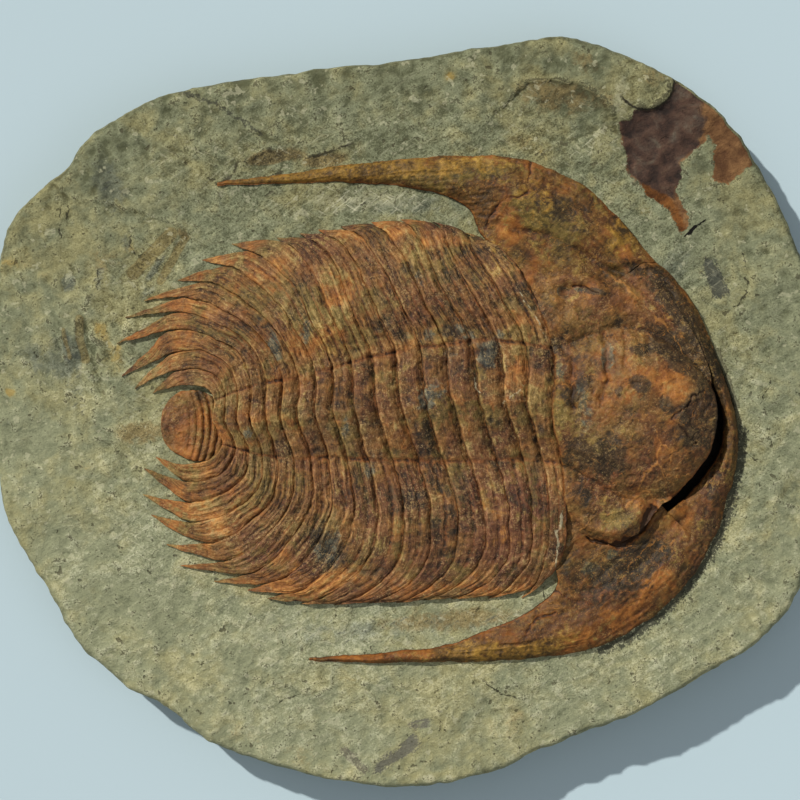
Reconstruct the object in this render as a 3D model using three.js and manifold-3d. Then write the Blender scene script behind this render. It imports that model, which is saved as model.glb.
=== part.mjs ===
// A large fossil trilobite in its block of mudstone, lying on its back face.
// Millimetres, +Z up. +X runs from the tail to the head, +Y is the animal's left side,
// and z = 0 is the sawn back of the block. The shell's plates were separate in life,
// so the head shield's four plates, the seventeen thoracic segments and the tail plate
// are each a solid of their own, bedded on the flat bedding plane of the block.
import * as THREE from 'three';
import Module from 'manifold-3d';

// Driving dimensions
const BLOCK_LENGTH = 374; // tail end to head end
const BLOCK_WIDTH = 342;
const BED_HEIGHT = 26; // bedding plane above the sawn back
const EDGE_DROP = 4; // how far the block's upper rim is broken down
const FLAT_SHARE = 0.83; // share of the block's radius that the bedding plane covers
const SEAM = 0.4; // clear width of the seams between plates
const TIP_WIDTH = 1.0; // width of a spine where it ends
const EDGE_LIP = 0.9; // lowest height of a plate's rim above the bed
const SEGMENT_COUNT = 17;
const FLAKE_RADIUS = 10.8; // round flake of stone that stands proud of the block
const FLAKE_RISE = 0.5;
const FLAKE_ROOT = 6; // how far the flake reaches down into the block
const STAIN_DEPTH = 1.5; // floor of the scar, below the bed, where the iron-stained layer is bare
const CRACK_WIDTH = 1.6;
const CRACK_DEPTH = 4;
const CUT_ABOVE = 5; // how far above the bed a cut starts, clear of everything there
const ROUGHNESS = 0.9; // relief of the broken rim
const BLOCK_SIDES = 110;
const ROUND_SIDES = 28; // sides of the flake and of the tail plate

// Colours of the materials
const STONE = { color: 0x86876a, roughness: 0.95, metalness: 0 };
const SHELL_HEAD = { color: 0x7a5a35, roughness: 0.8, metalness: 0 };
const SHELL_CHEEK = { color: 0x6b4a2a, roughness: 0.8, metalness: 0 };
const SHELL_BODY = { color: 0x7d5f3a, roughness: 0.8, metalness: 0 };
const SHELL_TAIL = { color: 0x8a6438, roughness: 0.8, metalness: 0 };

// Outline of the block at its widest, anticlockwise from the head end
const BLOCK_OUTLINE = [
  [187, 6], [186, 42], [179, 73], [168, 98], [150, 129], [134, 144], [107, 160], [84, 169],
  [66, 171], [40, 167], [-7, 160], [-64, 153], [-108, 145], [-128, 136], [-145, 124],
  [-156, 110], [-174, 94], [-183, 78], [-186, 55], [-187, 19], [-186, -17], [-182, -47],
  [-171, -68], [-160, -87], [-149, -105], [-128, -124], [-107, -136], [-94, -148],
  [-70, -158], [-32, -168], [-2, -171], [20, -169], [42, -163], [64, -153], [106, -137],
  [133, -122], [160, -105], [177, -86], [184, -62], [187, -30],
];

// Rings of the block's surface from its back to its bed, as
// [share of the radius, height, roughness of the radius, roughness of the height]
const BLOCK_RINGS = [
  [0.968, 0, 0, 0], [0.985, 4, 1, 0.4], [0.998, 11, 1, 0.8],
  [0.998, BED_HEIGHT - 2 * EDGE_DROP, 1.3, 1], [0.985, BED_HEIGHT - EDGE_DROP, 1, 1],
  [0.962, BED_HEIGHT - 1.6, 1, 0.7], [0.92, BED_HEIGHT - 0.6, 0.6, 0.5],
  [FLAT_SHARE, BED_HEIGHT, 0, 0],
];
const ROUGH_WAVES = [[0.5, 7, 1], [0.3, 17, 2.3], [0.2, 31, 4.1]]; // [size, waves round, shift]

// Rails along the body, as [boundary, x, y]. Boundary 0 is the front edge of the first
// segment and boundary 17 the rear edge of the last. Each rail is named by what it follows.
const RAILS = {
  leftBend: [[0, 39.5, 74.5], [2, 18, 76], [5, -14, 69.5], [8, -42.5, 64], [10, -65, 56],
    [12, -81.5, 45], [14, -88, 34], [17, -94.5, 12]],
  leftFlank: [[0, 56, 51.5], [2, 30, 50.5], [5, -2.5, 48], [8, -32, 39], [11, -56.5, 33.5],
    [14, -75.5, 26.5], [17, -89.5, 10.5]],
  leftFurrow: [[0, 64.5, 29], [2, 40.5, 32.5], [5, 5.5, 29], [8, -25, 22.5], [11, -48.5, 16],
    [14, -70, 11], [17, -86.5, 5.5]],
  rightFurrow: [[0, 68.5, -23], [2, 52, -21.5], [5, 16.5, -22], [8, -17, -21.5],
    [11, -43, -20.5], [14, -65, -19.5], [17, -83, -14.5]],
  rightFlank: [[0, 69.5, -46.5], [2, 56, -45], [5, 23, -45], [8, -13, -45], [11, -42, -40.5],
    [14, -66.5, -33.5], [17, -86.5, -19.5]],
  rightBend: [[0, 68, -67.5], [2, 54.5, -67.5], [5, 20.5, -67.5], [8, -18, -68],
    [11, -55, -61], [13, -72.5, -52], [15, -85, -37.5], [17, -93, -22.5]],
};
const RING_SWING = 2.3; // how far the rings bow towards the tail at the middle

// Where each segment's pleural spine ends, from the first segment to the last
const LEFT_TIPS = [
  [26.5, 80.4], [11.5, 85], [-2.5, 86], [-16, 84.5], [-29, 83.5], [-39, 82], [-48, 80.5],
  [-58, 78.5], [-78.5, 75.5], [-92, 68], [-103, 59.5], [-118, 50.5], [-126, 42.5],
  [-129.5, 31], [-127.5, 16], [-122, 10.5], [-113.5, 8.6],
];
const RIGHT_TIPS = [
  [52, -83.5], [36.5, -84], [20.5, -84.2], [8, -84.8], [-4.5, -85.6], [-17.5, -86.2], [-32, -86.8],
  [-47, -86.2], [-62, -84], [-71.5, -80], [-86, -76], [-101, -69.5], [-107.5, -60],
  [-115, -46.5], [-118, -36.5], [-117, -25], [-112, -20],
];
// Share of the way from bend to tip where neighbouring spines part, as [boundary, share]
const LEFT_PARTING = [[0, 0.35], [6, 0.5], [10, 0.4], [17, 0.28]];
const RIGHT_PARTING = [[0, 0.4], [1, 0.5], [2, 0.7], [3, 0.78], [8, 0.78], [10, 0.5], [17, 0.28]];
const SPINE_BULGE = 0.12; // how far a spine bows outwards, as a share of its length
const SPINE_WAIST = 0.56; // width half-way along the free spine, as a share of its root

// Heights of a segment above the bed at each rail, as [segment, height]
const CREST_HEIGHT = [[1, 15.5], [9, 13], [17, 7.5]];
const FURROW_HEIGHT = [[1, 8.6], [9, 7.6], [17, 4.8]];
const FLANK_HEIGHT = [[1, 10.4], [9, 9.2], [17, 4.8]];
const BEND_HEIGHT = [[1, 6.8], [9, 5.8], [17, 3.6]];
const PARTING_HEIGHT = [[1, 4.6], [17, 2.9]];
const WAIST_HEIGHT = [[1, 2.8], [17, 2]];
const TIP_HEIGHT = 1;
// Section of a segment from its front edge to its rear edge, as [share, rise]
const SEGMENT_SECTION = [[0, -1.7], [0.16, -0.3], [0.46, -0.7], [0.84, 0.9], [1, -1.1]];
const FULL_WIDTH = 12; // width at which a segment has the full relief of its section
const LEAST_RELIEF = 0.15; // share of that relief left where a segment is narrow
// Places along a segment where its section is drawn. The rails lie at 0 to 12.
const SEGMENT_STATIONS = [0, 0.6, 1.3, 2, 3, 3.5, 4, 4.5, 5, 5.35, 5.7, 6.3, 6.65, 7, 7.5, 8,
  8.5, 9, 10, 10.7, 11.4, 12];

// Places along the first boundary where the cranidium's columns of points start
const HEAD_STATIONS = [3, 3.5, 4, 4.5, 4.75, 5, 5.35, 5.7, 6, 6.3, 6.65, 7, 7.25, 7.5, 8, 8.5, 9];
const [FIRST_STATION] = HEAD_STATIONS;
const STATION_SPAN = HEAD_STATIONS.at(-1) - FIRST_STATION;

// Head shield: outer margins and inner edges as [station, x, y]
const LEFT_CHEEK_OUTER = [[0, -84.5, 103], [1, -50, 108], [2, -16, 112.5], [3, 8, 114.7],
  [4, 26, 115.3], [5, 44, 115], [6, 60, 111.5], [7, 76, 104], [8, 89.5, 93.5],
  [9, 101.5, 80.5], [10, 112, 67.5]];
const LEFT_CHEEK_INNER = [[0, -84.5, 101.5], [1, -48, 103], [2, -16, 103], [3, 4, 100.7],
  [4, 18, 97.3], [5, 28.5, 90.5], [6, 33.5, 80], [6.6, 39.7, 75.6], [7, 52, 67.5],
  [7.5, 63, 60.8], [8, 72, 62.6], [8.6, 83, 61], [9, 90, 57.8], [9.5, 98.5, 62.6],
  [10, 106, 67.3]];
const RIGHT_CHEEK_OUTER = [[0, -43, -111.3], [1, -12, -112.7], [2, 20, -112.7],
  [3, 42, -111.7], [4, 62.5, -110], [5, 81, -107], [6, 96, -101.5], [7, 109, -93],
  [8, 120, -83.5], [9, 129.5, -72.5], [10, 135.6, -61.8]];
const RIGHT_CHEEK_INNER = [[0, -43, -110], [1, -12, -108.3], [2, 13, -106.3],
  [3, 33, -100], [4, 51, -92], [5, 62.5, -84.5], [5.5, 68.6, -77], [5.8, 68.8, -67.8],
  [6.2, 74, -60.4], [6.7, 80, -55.4], [7.4, 89.5, -60], [8, 98.5, -58.4], [8.6, 104.6, -52.7],
  [9.1, 107.9, -43.8], [9.6, 113.5, -41.6], [10, 119, -46]];
const BORDER_OUTER = [[0, 112.2, 67], [1, 120.6, 59.7], [2, 128.3, 50], [3, 137.6, 30.2],
  [4, 144.6, 12], [5, 148.6, -3.5], [6, 149.5, -16], [7, 147.2, -29], [8, 143.1, -42],
  [9, 139.8, -52.5], [10, 136, -61.3]];
const BORDER_INNER = [[0, 106.5, 67], [1, 111.6, 60.5], [2, 116.6, 53.5], [3, 128.3, 32.5],
  [4, 136.8, 16], [5, 141.9, 2], [6, 142.5, -9.5], [7, 140.2, -19.5], [8, 134, -28.5],
  [9, 126.5, -37], [10, 119.5, -45.3]];
// Clear width between the cranidium and the front border, as [station, width]. The two
// have come apart at the snout, where the crack gapes.
const SNOUT_GAP = [[0, 0.5], [3.6, 0.6], [4.4, 2.4], [5.5, 3.6], [7, 3.4], [9, 3.6], [10, 4.6]];
const LEFT_SUTURE = { from: 6.6, to: 10, shift: [0, -0.6] };
const RIGHT_SUTURE = { from: 5.8, to: 9.6, shift: [-0.45, 0.55] };
const SHIELD_STATIONS = 10; // the last station of the cheeks and of the border
const SPINE_STEPS = 11; // steps along a genal spine, up to the suture
const HEAD_ROWS = 16; // rows of points from the rear of the cranidium to its front
const HEAD_RIM = 1.4; // how far the cranidium's rim is turned down
const CORNER_HOLD = 12; // how fast an edge's shift to its corner fades along the edge
const BEHIND_HEAD = 0.7; // seam between the head shield and the first segment

// Heights of the cheeks above the bed. Each row is [station, rim, border, furrow, suture].
const LEFT_CHEEK_HEIGHTS = [[0, 1, 1.6, 1.5, 1], [1, 1.4, 3, 2.9, 1.4], [2, 1.8, 4.4, 4.2, 1.7],
  [4, 2.2, 5.8, 5.4, 2], [5, 2.4, 6.6, 5.6, 2.2], [6, 2.6, 7.2, 5.4, 3.4], [7, 2.8, 7.4, 5, 8],
  [8, 2.8, 7.2, 4.8, 8.6], [9, 2.6, 6.8, 4.8, 7.6], [10, 2.4, 5.6, 4.4, 4.6]];
const RIGHT_CHEEK_HEIGHTS = [[0, 1, 1.6, 1.5, 1], [1, 1.4, 3, 2.9, 1.4], [2, 1.8, 4, 3.9, 1.7],
  [4, 2.2, 5.6, 5.2, 2.2], [5, 2.4, 6.6, 5.4, 3], [6, 2.6, 7, 4.6, 5.4], [7, 2.8, 7, 4.4, 5.6],
  [8, 2.8, 6.8, 4.4, 5.4], [9, 2.6, 6.4, 4.6, 5], [10, 2.4, 5.4, 4.6, 4]];
const BORDER_HEIGHTS = [[0, 2.4, 5.6, 5, 4.2], [3, 2.6, 6.2, 5.6, 4], [6, 2.8, 7, 6, 3.2],
  [8, 2.6, 6.6, 5.4, 3.2], [10, 2.4, 5.4, 4.8, 3.8]];
// Share of the cheek's width at which each of those heights lies
const LEFT_CHEEK_SHARES = [0, 0.4, 0.76, 1];
const RIGHT_CHEEK_SHARES = [0, 0.32, 0.62, 1];
const BORDER_SHARES = [0, 0.45, 0.8, 1];

// Glabella: rows of [x, middle y, half width, crest height, furrow height]
const GLABELLA = [[58, 3, 26, 15.2, 8.4], [70, 3, 27, 15.8, 8.2], [82, 2, 32, 17.4, 8],
  [96, 0, 38, 19.4, 7.6], [108, -1.5, 37.5, 20.6, 7], [120, -3.5, 33.5, 20.2, 6.6],
  [130, -5, 26, 18, 6.6], [137, -6, 18, 14.5, 7], [142, -6.5, 13, 10.5, 7]];
const CHEEK_RISE = 3.4; // how far the fixed cheek rises beside the glabella
const CHEEK_REACH = 24; // distance over which it rises and falls again
const CHEEK_SLOPE = 0.09; // fall of the fixed cheek away from the glabella
const GLABELLA_ROUND = 2.4; // power of the glabella's cross section; 2 is a parabola
const FURROW_FADE = 4; // distance over which a furrow runs out at its ends
const HEAD_FURROWS = [ // [x, y from, y to, half width, depth]
  [74, 24, -20, 2.6, 1.9], [89.5, 33, 8, 2.4, 1.3], [97, 36, 20, 2.2, 1.1],
  [90, -34, -14, 2.6, 0.9],
];
const EYE_LOBES = [[74, 56.5, 13, 5, 2.6], [93, -51, 14, 7, 2.4]]; // [x, y, rx, ry, rise]

// Tail plate
const TAIL_OUTLINE = [[-87, 4.8], [-90.5, 8], [-95, 9.8], [-101, 9.4], [-106, 6],
  [-109.8, 0], [-109.8, -8], [-107, -14.5], [-102, -19], [-94.5, -21.4], [-88, -19.8],
  [-83.6, -14.8], [-85.6, -8], [-87.4, -1]];
const TAIL_HEIGHT = 5.4;
const TAIL_RINGS = [[1, 1.6], [0.9, 3.6], [0.6, TAIL_HEIGHT - 0.4], [0.3, TAIL_HEIGHT]];

// Cubic curve through rows [t, a, b, ...] whose t rises; t outside the rows is clamped
function through(rows, t) {
  const last = rows.length - 1;
  const at = Math.min(Math.max(t, rows[0][0]), rows[last][0]);
  let k = 0;
  while (k < last - 1 && at > rows[k + 1][0]) k += 1;
  const span = rows[k + 1][0] - rows[k][0];
  const f = (at - rows[k][0]) / span;
  const slope = (row, column) => {
    const before = rows[Math.max(row - 1, 0)];
    const after = rows[Math.min(row + 1, last)];
    return (after[column] - before[column]) / (after[0] - before[0]);
  };
  const values = [];
  for (let column = 1; column < rows[0].length; column += 1) {
    const a = rows[k][column];
    const b = rows[k + 1][column];
    const curveA = (2 * f ** 3 - 3 * f ** 2 + 1) * a + (3 * f ** 2 - 2 * f ** 3) * b;
    const curveB = (f ** 3 - 2 * f ** 2 + f) * slope(k, column) + (f ** 3 - f ** 2) * slope(k + 1, column);
    values.push(curveA + curveB * span);
  }
  return values;
}

// Straight interpolation of one column through rows [t, value]
function ramp(rows, t) {
  let k = 0;
  while (k < rows.length - 2 && t > rows[k + 1][0]) k += 1;
  const f = THREE.MathUtils.clamp((t - rows[k][0]) / (rows[k + 1][0] - rows[k][0]), 0, 1);
  return rows[k][1] + f * (rows[k + 1][1] - rows[k][1]);
}

const smooth = (low, high, value) => THREE.MathUtils.smoothstep(value, low, high);

// Curve through points whose tangents are unit vectors, one span per pair of points
class Edge {
  constructor(points, tangents) {
    this.points = points;
    this.tangents = points.map((point, k) => {
      if (tangents[k]) return tangents[k];
      const before = points[Math.max(k - 1, 0)];
      const after = points[Math.min(k + 1, points.length - 1)];
      const h0 = Math.max(point.distanceTo(before), 1e-6);
      const h1 = Math.max(after.distanceTo(point), 1e-6);
      const left = point.clone().sub(before).divideScalar(h0);
      const right = after.clone().sub(point).divideScalar(h1);
      if (k === 0) return right;
      if (k === points.length - 1) return left;
      return right.multiplyScalar(h0).add(left.multiplyScalar(h1)).divideScalar(h0 + h1);
    });
  }

  at(u) {
    const k = Math.min(Math.floor(u), this.points.length - 2);
    const f = u - k;
    const a = this.points[k];
    const b = this.points[k + 1];
    const h = a.distanceTo(b);
    return new THREE.Vector2()
      .addScaledVector(a, 2 * f ** 3 - 3 * f ** 2 + 1)
      .addScaledVector(b, 3 * f ** 2 - 2 * f ** 3)
      .addScaledVector(this.tangents[k], (f ** 3 - 2 * f ** 2 + f) * h)
      .addScaledVector(this.tangents[k + 1], (f ** 3 - f ** 2) * h);
  }
}

const vector = (pair) => new THREE.Vector2(pair[0], pair[1]);
const rail = (name, j) => vector(through(RAILS[name], j));

const LEFT = { tips: LEFT_TIPS, bend: 'leftBend', parting: LEFT_PARTING, turn: -1 };
const RIGHT = { tips: RIGHT_TIPS, bend: 'rightBend', parting: RIGHT_PARTING, turn: 1 };

// Where the spines on one side part along a boundary, and which way it runs there
function partingOf(j, side) {
  const bend = rail(side.bend, j);
  const tip = vector(side.tips[Math.max(j, 1) - 1]);
  const way = tip.sub(bend);
  return { point: bend.addScaledVector(way, ramp(side.parting, j)), way: way.clone().normalize() };
}

// Tip and waist of a free spine on its front or rear edge
function spineEnd(segment, atRear, side) {
  const front = partingOf(segment - 1, side).point;
  const rear = partingOf(segment, side).point;
  const root = front.clone().add(rear).multiplyScalar(0.5);
  const tip = vector(side.tips[segment - 1]);
  const along = tip.clone().sub(root);
  const reach = along.length();
  const forward = new THREE.Vector2(-along.y, along.x).normalize().multiplyScalar(side.turn);
  const waist = root.clone().add(tip).multiplyScalar(0.5).addScaledVector(forward, SPINE_BULGE * reach);
  const edge = atRear ? -1 : 1;
  const half = 0.5 * SPINE_WAIST * Math.abs(rear.clone().sub(front).dot(forward));
  return {
    tip: tip.addScaledVector(forward, edge * (TIP_WIDTH + SEAM) * 0.5),
    waist: waist.addScaledVector(forward, edge * half),
  };
}

// One long edge of a segment: tip, waist of the spine, shared boundary, waist and tip
function segmentEdge(segment, atRear) {
  const j = atRear ? segment : segment - 1;
  const left = partingOf(j, LEFT);
  const right = partingOf(j, RIGHT);
  const middle = rail('leftFurrow', j).add(rail('rightFurrow', j)).multiplyScalar(0.5);
  middle.x -= RING_SWING;
  const leftEnd = spineEnd(segment, atRear, LEFT);
  const rightEnd = spineEnd(segment, atRear, RIGHT);
  const points = [leftEnd.tip, leftEnd.waist, left.point, rail('leftBend', j), rail('leftFlank', j),
    rail('leftFurrow', j), middle, rail('rightFurrow', j), rail('rightFlank', j),
    rail('rightBend', j), right.point, rightEnd.waist, rightEnd.tip];
  const tangents = new Array(points.length).fill(null);
  tangents[2] = left.way.clone().negate();
  tangents[10] = right.way.clone();
  return new Edge(points, tangents);
}

// Height of a segment above the bed at a place u along it
function segmentHeight(segment, u) {
  const at = (rows) => ramp(rows, segment);
  const rows = [[0, TIP_HEIGHT], [1, at(WAIST_HEIGHT)], [2, at(PARTING_HEIGHT)],
    [3, at(BEND_HEIGHT)], [4, at(FLANK_HEIGHT)], [5, at(FURROW_HEIGHT)],
    [6, at(CREST_HEIGHT)]];
  return through(rows, 6 - Math.abs(u - 6))[0];
}

// Grid of points for one segment, with the seams taken off both edges
function segmentGrid(segment) {
  const front = segmentEdge(segment, false);
  const rear = segmentEdge(segment, true);
  return SEGMENT_STATIONS.map((u) => {
    const a = front.at(u);
    const b = rear.at(u);
    const across = b.clone().sub(a);
    const width = across.length();
    across.divideScalar(width);
    a.addScaledVector(across, SEAM / 2);
    b.addScaledVector(across, -SEAM / 2);
    const crest = segmentHeight(segment, u);
    const bite = THREE.MathUtils.clamp(width / FULL_WIDTH, LEAST_RELIEF, 1);
    return SEGMENT_SECTION.map(([share, rise]) => {
      const spot = a.clone().lerp(b, share);
      return [spot.x, spot.y, Math.max(crest + rise * bite, EDGE_LIP)];
    });
  });
}

// Grid of a cheek or border, carried from its outer margin to its inner edge
function bandGrid(outer, inner, stations, shares, heights, marks) {
  return stations.map((s) => {
    const a = vector(through(outer, s));
    const b = vector(through(inner, s));
    const profile = through(heights, s);
    const rows = marks.map((mark, k) => [mark, profile[k]]);
    return shares.map((share) => {
      const spot = a.clone().lerp(b, share);
      return [spot.x, spot.y, Math.max(through(rows, share)[0], EDGE_LIP)];
    });
  });
}

// Height of the cranidium above the bed: glabella, fixed cheeks, eye lobes and furrows
function cranidiumHeight(x, y) {
  const [middle, half, crest, furrow] = through(GLABELLA, x);
  const side = Math.abs(y - middle) / half;
  let height = furrow;
  if (side < 1) {
    height += (crest - furrow) * (1 - side ** GLABELLA_ROUND);
  } else {
    const out = (side - 1) * half;
    height += CHEEK_RISE * Math.sin(Math.PI * Math.min(out / CHEEK_REACH, 1)) - CHEEK_SLOPE * out;
  }
  for (const [fx, from, to, spread, depth] of HEAD_FURROWS) {
    const across = Math.exp(-(((x - fx) / spread) ** 2));
    const low = Math.min(from, to);
    const high = Math.max(from, to);
    const along = smooth(low - FURROW_FADE, low + FURROW_FADE, y)
      * (1 - smooth(high - FURROW_FADE, high + FURROW_FADE, y));
    height -= depth * across * along;
  }
  for (const [ex, ey, rx, ry, rise] of EYE_LOBES) {
    height += rise * Math.exp(-(((x - ex) / rx) ** 2) - ((y - ey) / ry) ** 2);
  }
  return Math.max(height, EDGE_LIP);
}

// Inner edge of the front border moved back by the gap at the snout
function snoutEdge(t) {
  const station = SHIELD_STATIONS * t;
  const step = 0.05;
  const spot = vector(through(BORDER_INNER, station));
  const way = vector(through(BORDER_INNER, station + step))
    .sub(vector(through(BORDER_INNER, station - step)));
  return spot.addScaledVector(new THREE.Vector2(way.y, -way.x).normalize(), ramp(SNOUT_GAP, station));
}

// Coons patch over four edges: the rear margin, the two sutures and the front edge
function cranidiumGrid() {
  const rearEdge = segmentEdge(1, false);
  const rear = (t) => {
    const spot = rearEdge.at(FIRST_STATION + STATION_SPAN * t);
    spot.x += BEHIND_HEAD;
    return spot;
  };
  const suture = (edge, { from, to, shift }) => (s) => (
    vector(through(edge, from + (to - from) * s)).add(vector(shift))
  );
  const sutures = [suture(LEFT_CHEEK_INNER, LEFT_SUTURE), suture(RIGHT_CHEEK_INNER, RIGHT_SUTURE)];
  const corners = [rear(0), rear(1), sutures[0](1), sutures[1](1)];
  const [left, right] = sutures.map((edge, n) => (s) => (
    edge(s).addScaledVector(corners[n].clone().sub(edge(0)), (1 - s) ** CORNER_HOLD)
  ));
  const front = (t) => snoutEdge(t)
    .addScaledVector(corners[2].clone().sub(snoutEdge(0)), (1 - t) ** CORNER_HOLD)
    .addScaledVector(corners[3].clone().sub(snoutEdge(1)), t ** CORNER_HOLD);
  const grid = [];
  for (let i = 0; i <= HEAD_ROWS; i += 1) {
    const s = i / HEAD_ROWS;
    grid.push(HEAD_STATIONS.map((station) => {
      const t = (station - FIRST_STATION) / STATION_SPAN;
      const spot = new THREE.Vector2()
        .addScaledVector(left(s), 1 - t).addScaledVector(right(s), t)
        .addScaledVector(rear(t), 1 - s).addScaledVector(front(t), s)
        .addScaledVector(corners[0], -(1 - s) * (1 - t)).addScaledVector(corners[1], -(1 - s) * t)
        .addScaledVector(corners[2], -s * (1 - t)).addScaledVector(corners[3], -s * t);
      const rim = Math.min(s, 1 - s, t, 1 - t) === 0 ? HEAD_RIM : 0;
      return [spot.x, spot.y, Math.max(cranidiumHeight(spot.x, spot.y) - rim, EDGE_LIP)];
    }));
  }
  return grid;
}

// Closed solid below a grid of points, flat on the bed. A long band closes with cross strips;
// a broad plate closes with a fan about its middle.
function solidUnder(grid, material, name, broad = false) {
  const rows = grid.length;
  const columns = grid[0].length;
  const points = [];
  const faces = [];
  const index = (i, k) => i * columns + k;
  for (const row of grid) {
    for (const [x, y, h] of row) points.push([x, y, BED_HEIGHT + h]);
  }
  for (let i = 0; i < rows - 1; i += 1) {
    for (let k = 0; k < columns - 1; k += 1) {
      faces.push([index(i, k), index(i + 1, k), index(i + 1, k + 1)]);
      faces.push([index(i, k), index(i + 1, k + 1), index(i, k + 1)]);
    }
  }
  const loop = [];
  for (let i = 0; i < rows; i += 1) loop.push(index(i, 0));
  for (let k = 1; k < columns; k += 1) loop.push(index(rows - 1, k));
  for (let i = rows - 2; i >= 0; i -= 1) loop.push(index(i, columns - 1));
  for (let k = columns - 2; k > 0; k -= 1) loop.push(index(0, k));
  const below = new Map();
  for (const top of loop) {
    below.set(top, points.length);
    points.push([points[top][0], points[top][1], BED_HEIGHT]);
  }
  loop.forEach((top, n) => {
    const next = loop[(n + 1) % loop.length];
    faces.push([top, below.get(top), below.get(next)], [top, below.get(next), next]);
  });
  const foot = (i, k) => below.get(index(i, k));
  if (broad) {
    const hub = grid[Math.floor(rows / 2)][Math.floor(columns / 2)];
    points.push([hub[0], hub[1], BED_HEIGHT]);
    loop.forEach((top, n) => {
      const next = loop[(n + 1) % loop.length];
      faces.push([points.length - 1, below.get(next), below.get(top)]);
    });
  } else {
    const c = columns - 1;
    for (let i = 1; i < rows - 2; i += 1) {
      faces.push([foot(i, 0), foot(i + 1, c), foot(i + 1, 0)]);
      faces.push([foot(i, 0), foot(i, c), foot(i + 1, c)]);
    }
    const ends = [[0, 1, 1], [rows - 1, rows - 2, -1]];
    for (const [end, inner, turn] of ends) {
      const fan = [foot(inner, c)];
      for (let k = c; k >= 0; k -= 1) fan.push(foot(end, k));
      for (let n = 0; n < fan.length - 1; n += 1) {
        const face = [foot(inner, 0), fan[n], fan[n + 1]];
        faces.push(turn > 0 ? [face[0], face[2], face[1]] : face);
      }
    }
  }
  return meshFrom(points, faces, material, name);
}

// Mesh from points and faces, turned so that its faces point outwards
function meshFrom(points, faces, material, name) {
  let volume = 0;
  for (const [a, b, c] of faces) {
    const [p, q, r] = [points[a], points[b], points[c]].map((spot) => new THREE.Vector3(...spot));
    volume += p.dot(q.cross(r)) / 6;
  }
  const turned = volume < 0 ? faces.map(([a, b, c]) => [a, c, b]) : faces;
  const geometry = new THREE.BufferGeometry();
  geometry.setAttribute('position', new THREE.Float32BufferAttribute(points.flat(), 3));
  geometry.setIndex(turned.flat());
  geometry.computeVertexNormals();
  const mesh = new THREE.Mesh(geometry, new THREE.MeshStandardMaterial(material));
  mesh.name = name;
  return mesh;
}

// Shares of a band's width where its section is drawn
const BAND_SHARES = [0, 0.06, 0.22, 0.42, 0.6, 0.76, 0.9, 1];
const BORDER_BAND_SHARES = [0, 0.15, 0.45, 0.8, 1];
const stationsBetween = (from, to, count) => (
  Array.from({ length: count + 1 }, (_, n) => from + ((to - from) * n) / count)
);

// Stations of a cheek: along the genal spine, then step by step with the cranidium
function cheekStations({ from, to }) {
  const suture = stationsBetween(from, to, HEAD_ROWS);
  const front = to < SHIELD_STATIONS ? [SHIELD_STATIONS] : [];
  return [...stationsBetween(0, from, SPINE_STEPS).slice(0, -1), ...suture, ...front];
}

// The tail plate: rings from its rim up to its crown, and a flat foot
function tailPlate() {
  const count = ROUND_SIDES;
  const curve = new THREE.CatmullRomCurve3(
    TAIL_OUTLINE.map(([x, y]) => new THREE.Vector3(x, y, 0)), true, 'centripetal',
  );
  const outline = stationsBetween(0, 1, count).slice(0, count).map((t) => curve.getPoint(t));
  const middle = outline.reduce((sum, spot) => sum.add(spot), new THREE.Vector3()).divideScalar(count);
  const points = [];
  const faces = [];
  for (const [ring, height] of TAIL_RINGS) {
    for (const spot of outline) {
      points.push([
        middle.x + (spot.x - middle.x) * ring,
        middle.y + (spot.y - middle.y) * ring,
        BED_HEIGHT + height,
      ]);
    }
  }
  for (const spot of outline) points.push([spot.x, spot.y, BED_HEIGHT]);
  points.push([middle.x, middle.y, BED_HEIGHT + TAIL_HEIGHT], [middle.x, middle.y, BED_HEIGHT]);
  const [crown, hub] = [points.length - 2, points.length - 1];
  for (let n = 0; n < count; n += 1) {
    const m = (n + 1) % count;
    for (let r = 0; r < TAIL_RINGS.length - 1; r += 1) {
      faces.push([r * count + n, r * count + m, (r + 1) * count + m]);
      faces.push([r * count + n, (r + 1) * count + m, (r + 1) * count + n]);
    }
    const inner = (TAIL_RINGS.length - 1) * count;
    const foot = TAIL_RINGS.length * count;
    faces.push([inner + n, inner + m, crown], [foot + m, foot + n, hub]);
    faces.push([foot + n, foot + m, m], [foot + n, m, n]);
  }
  return meshFrom(points, faces, SHELL_TAIL, 'pygidium');
}

// A rough value between -1 and 1 that repeats round the block's rim
function rough(angle, seed) {
  return ROUGH_WAVES.reduce((sum, [size, waves, shift]) => (
    sum + size * Math.sin(waves * angle + shift * seed)
  ), 0);
}

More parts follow.
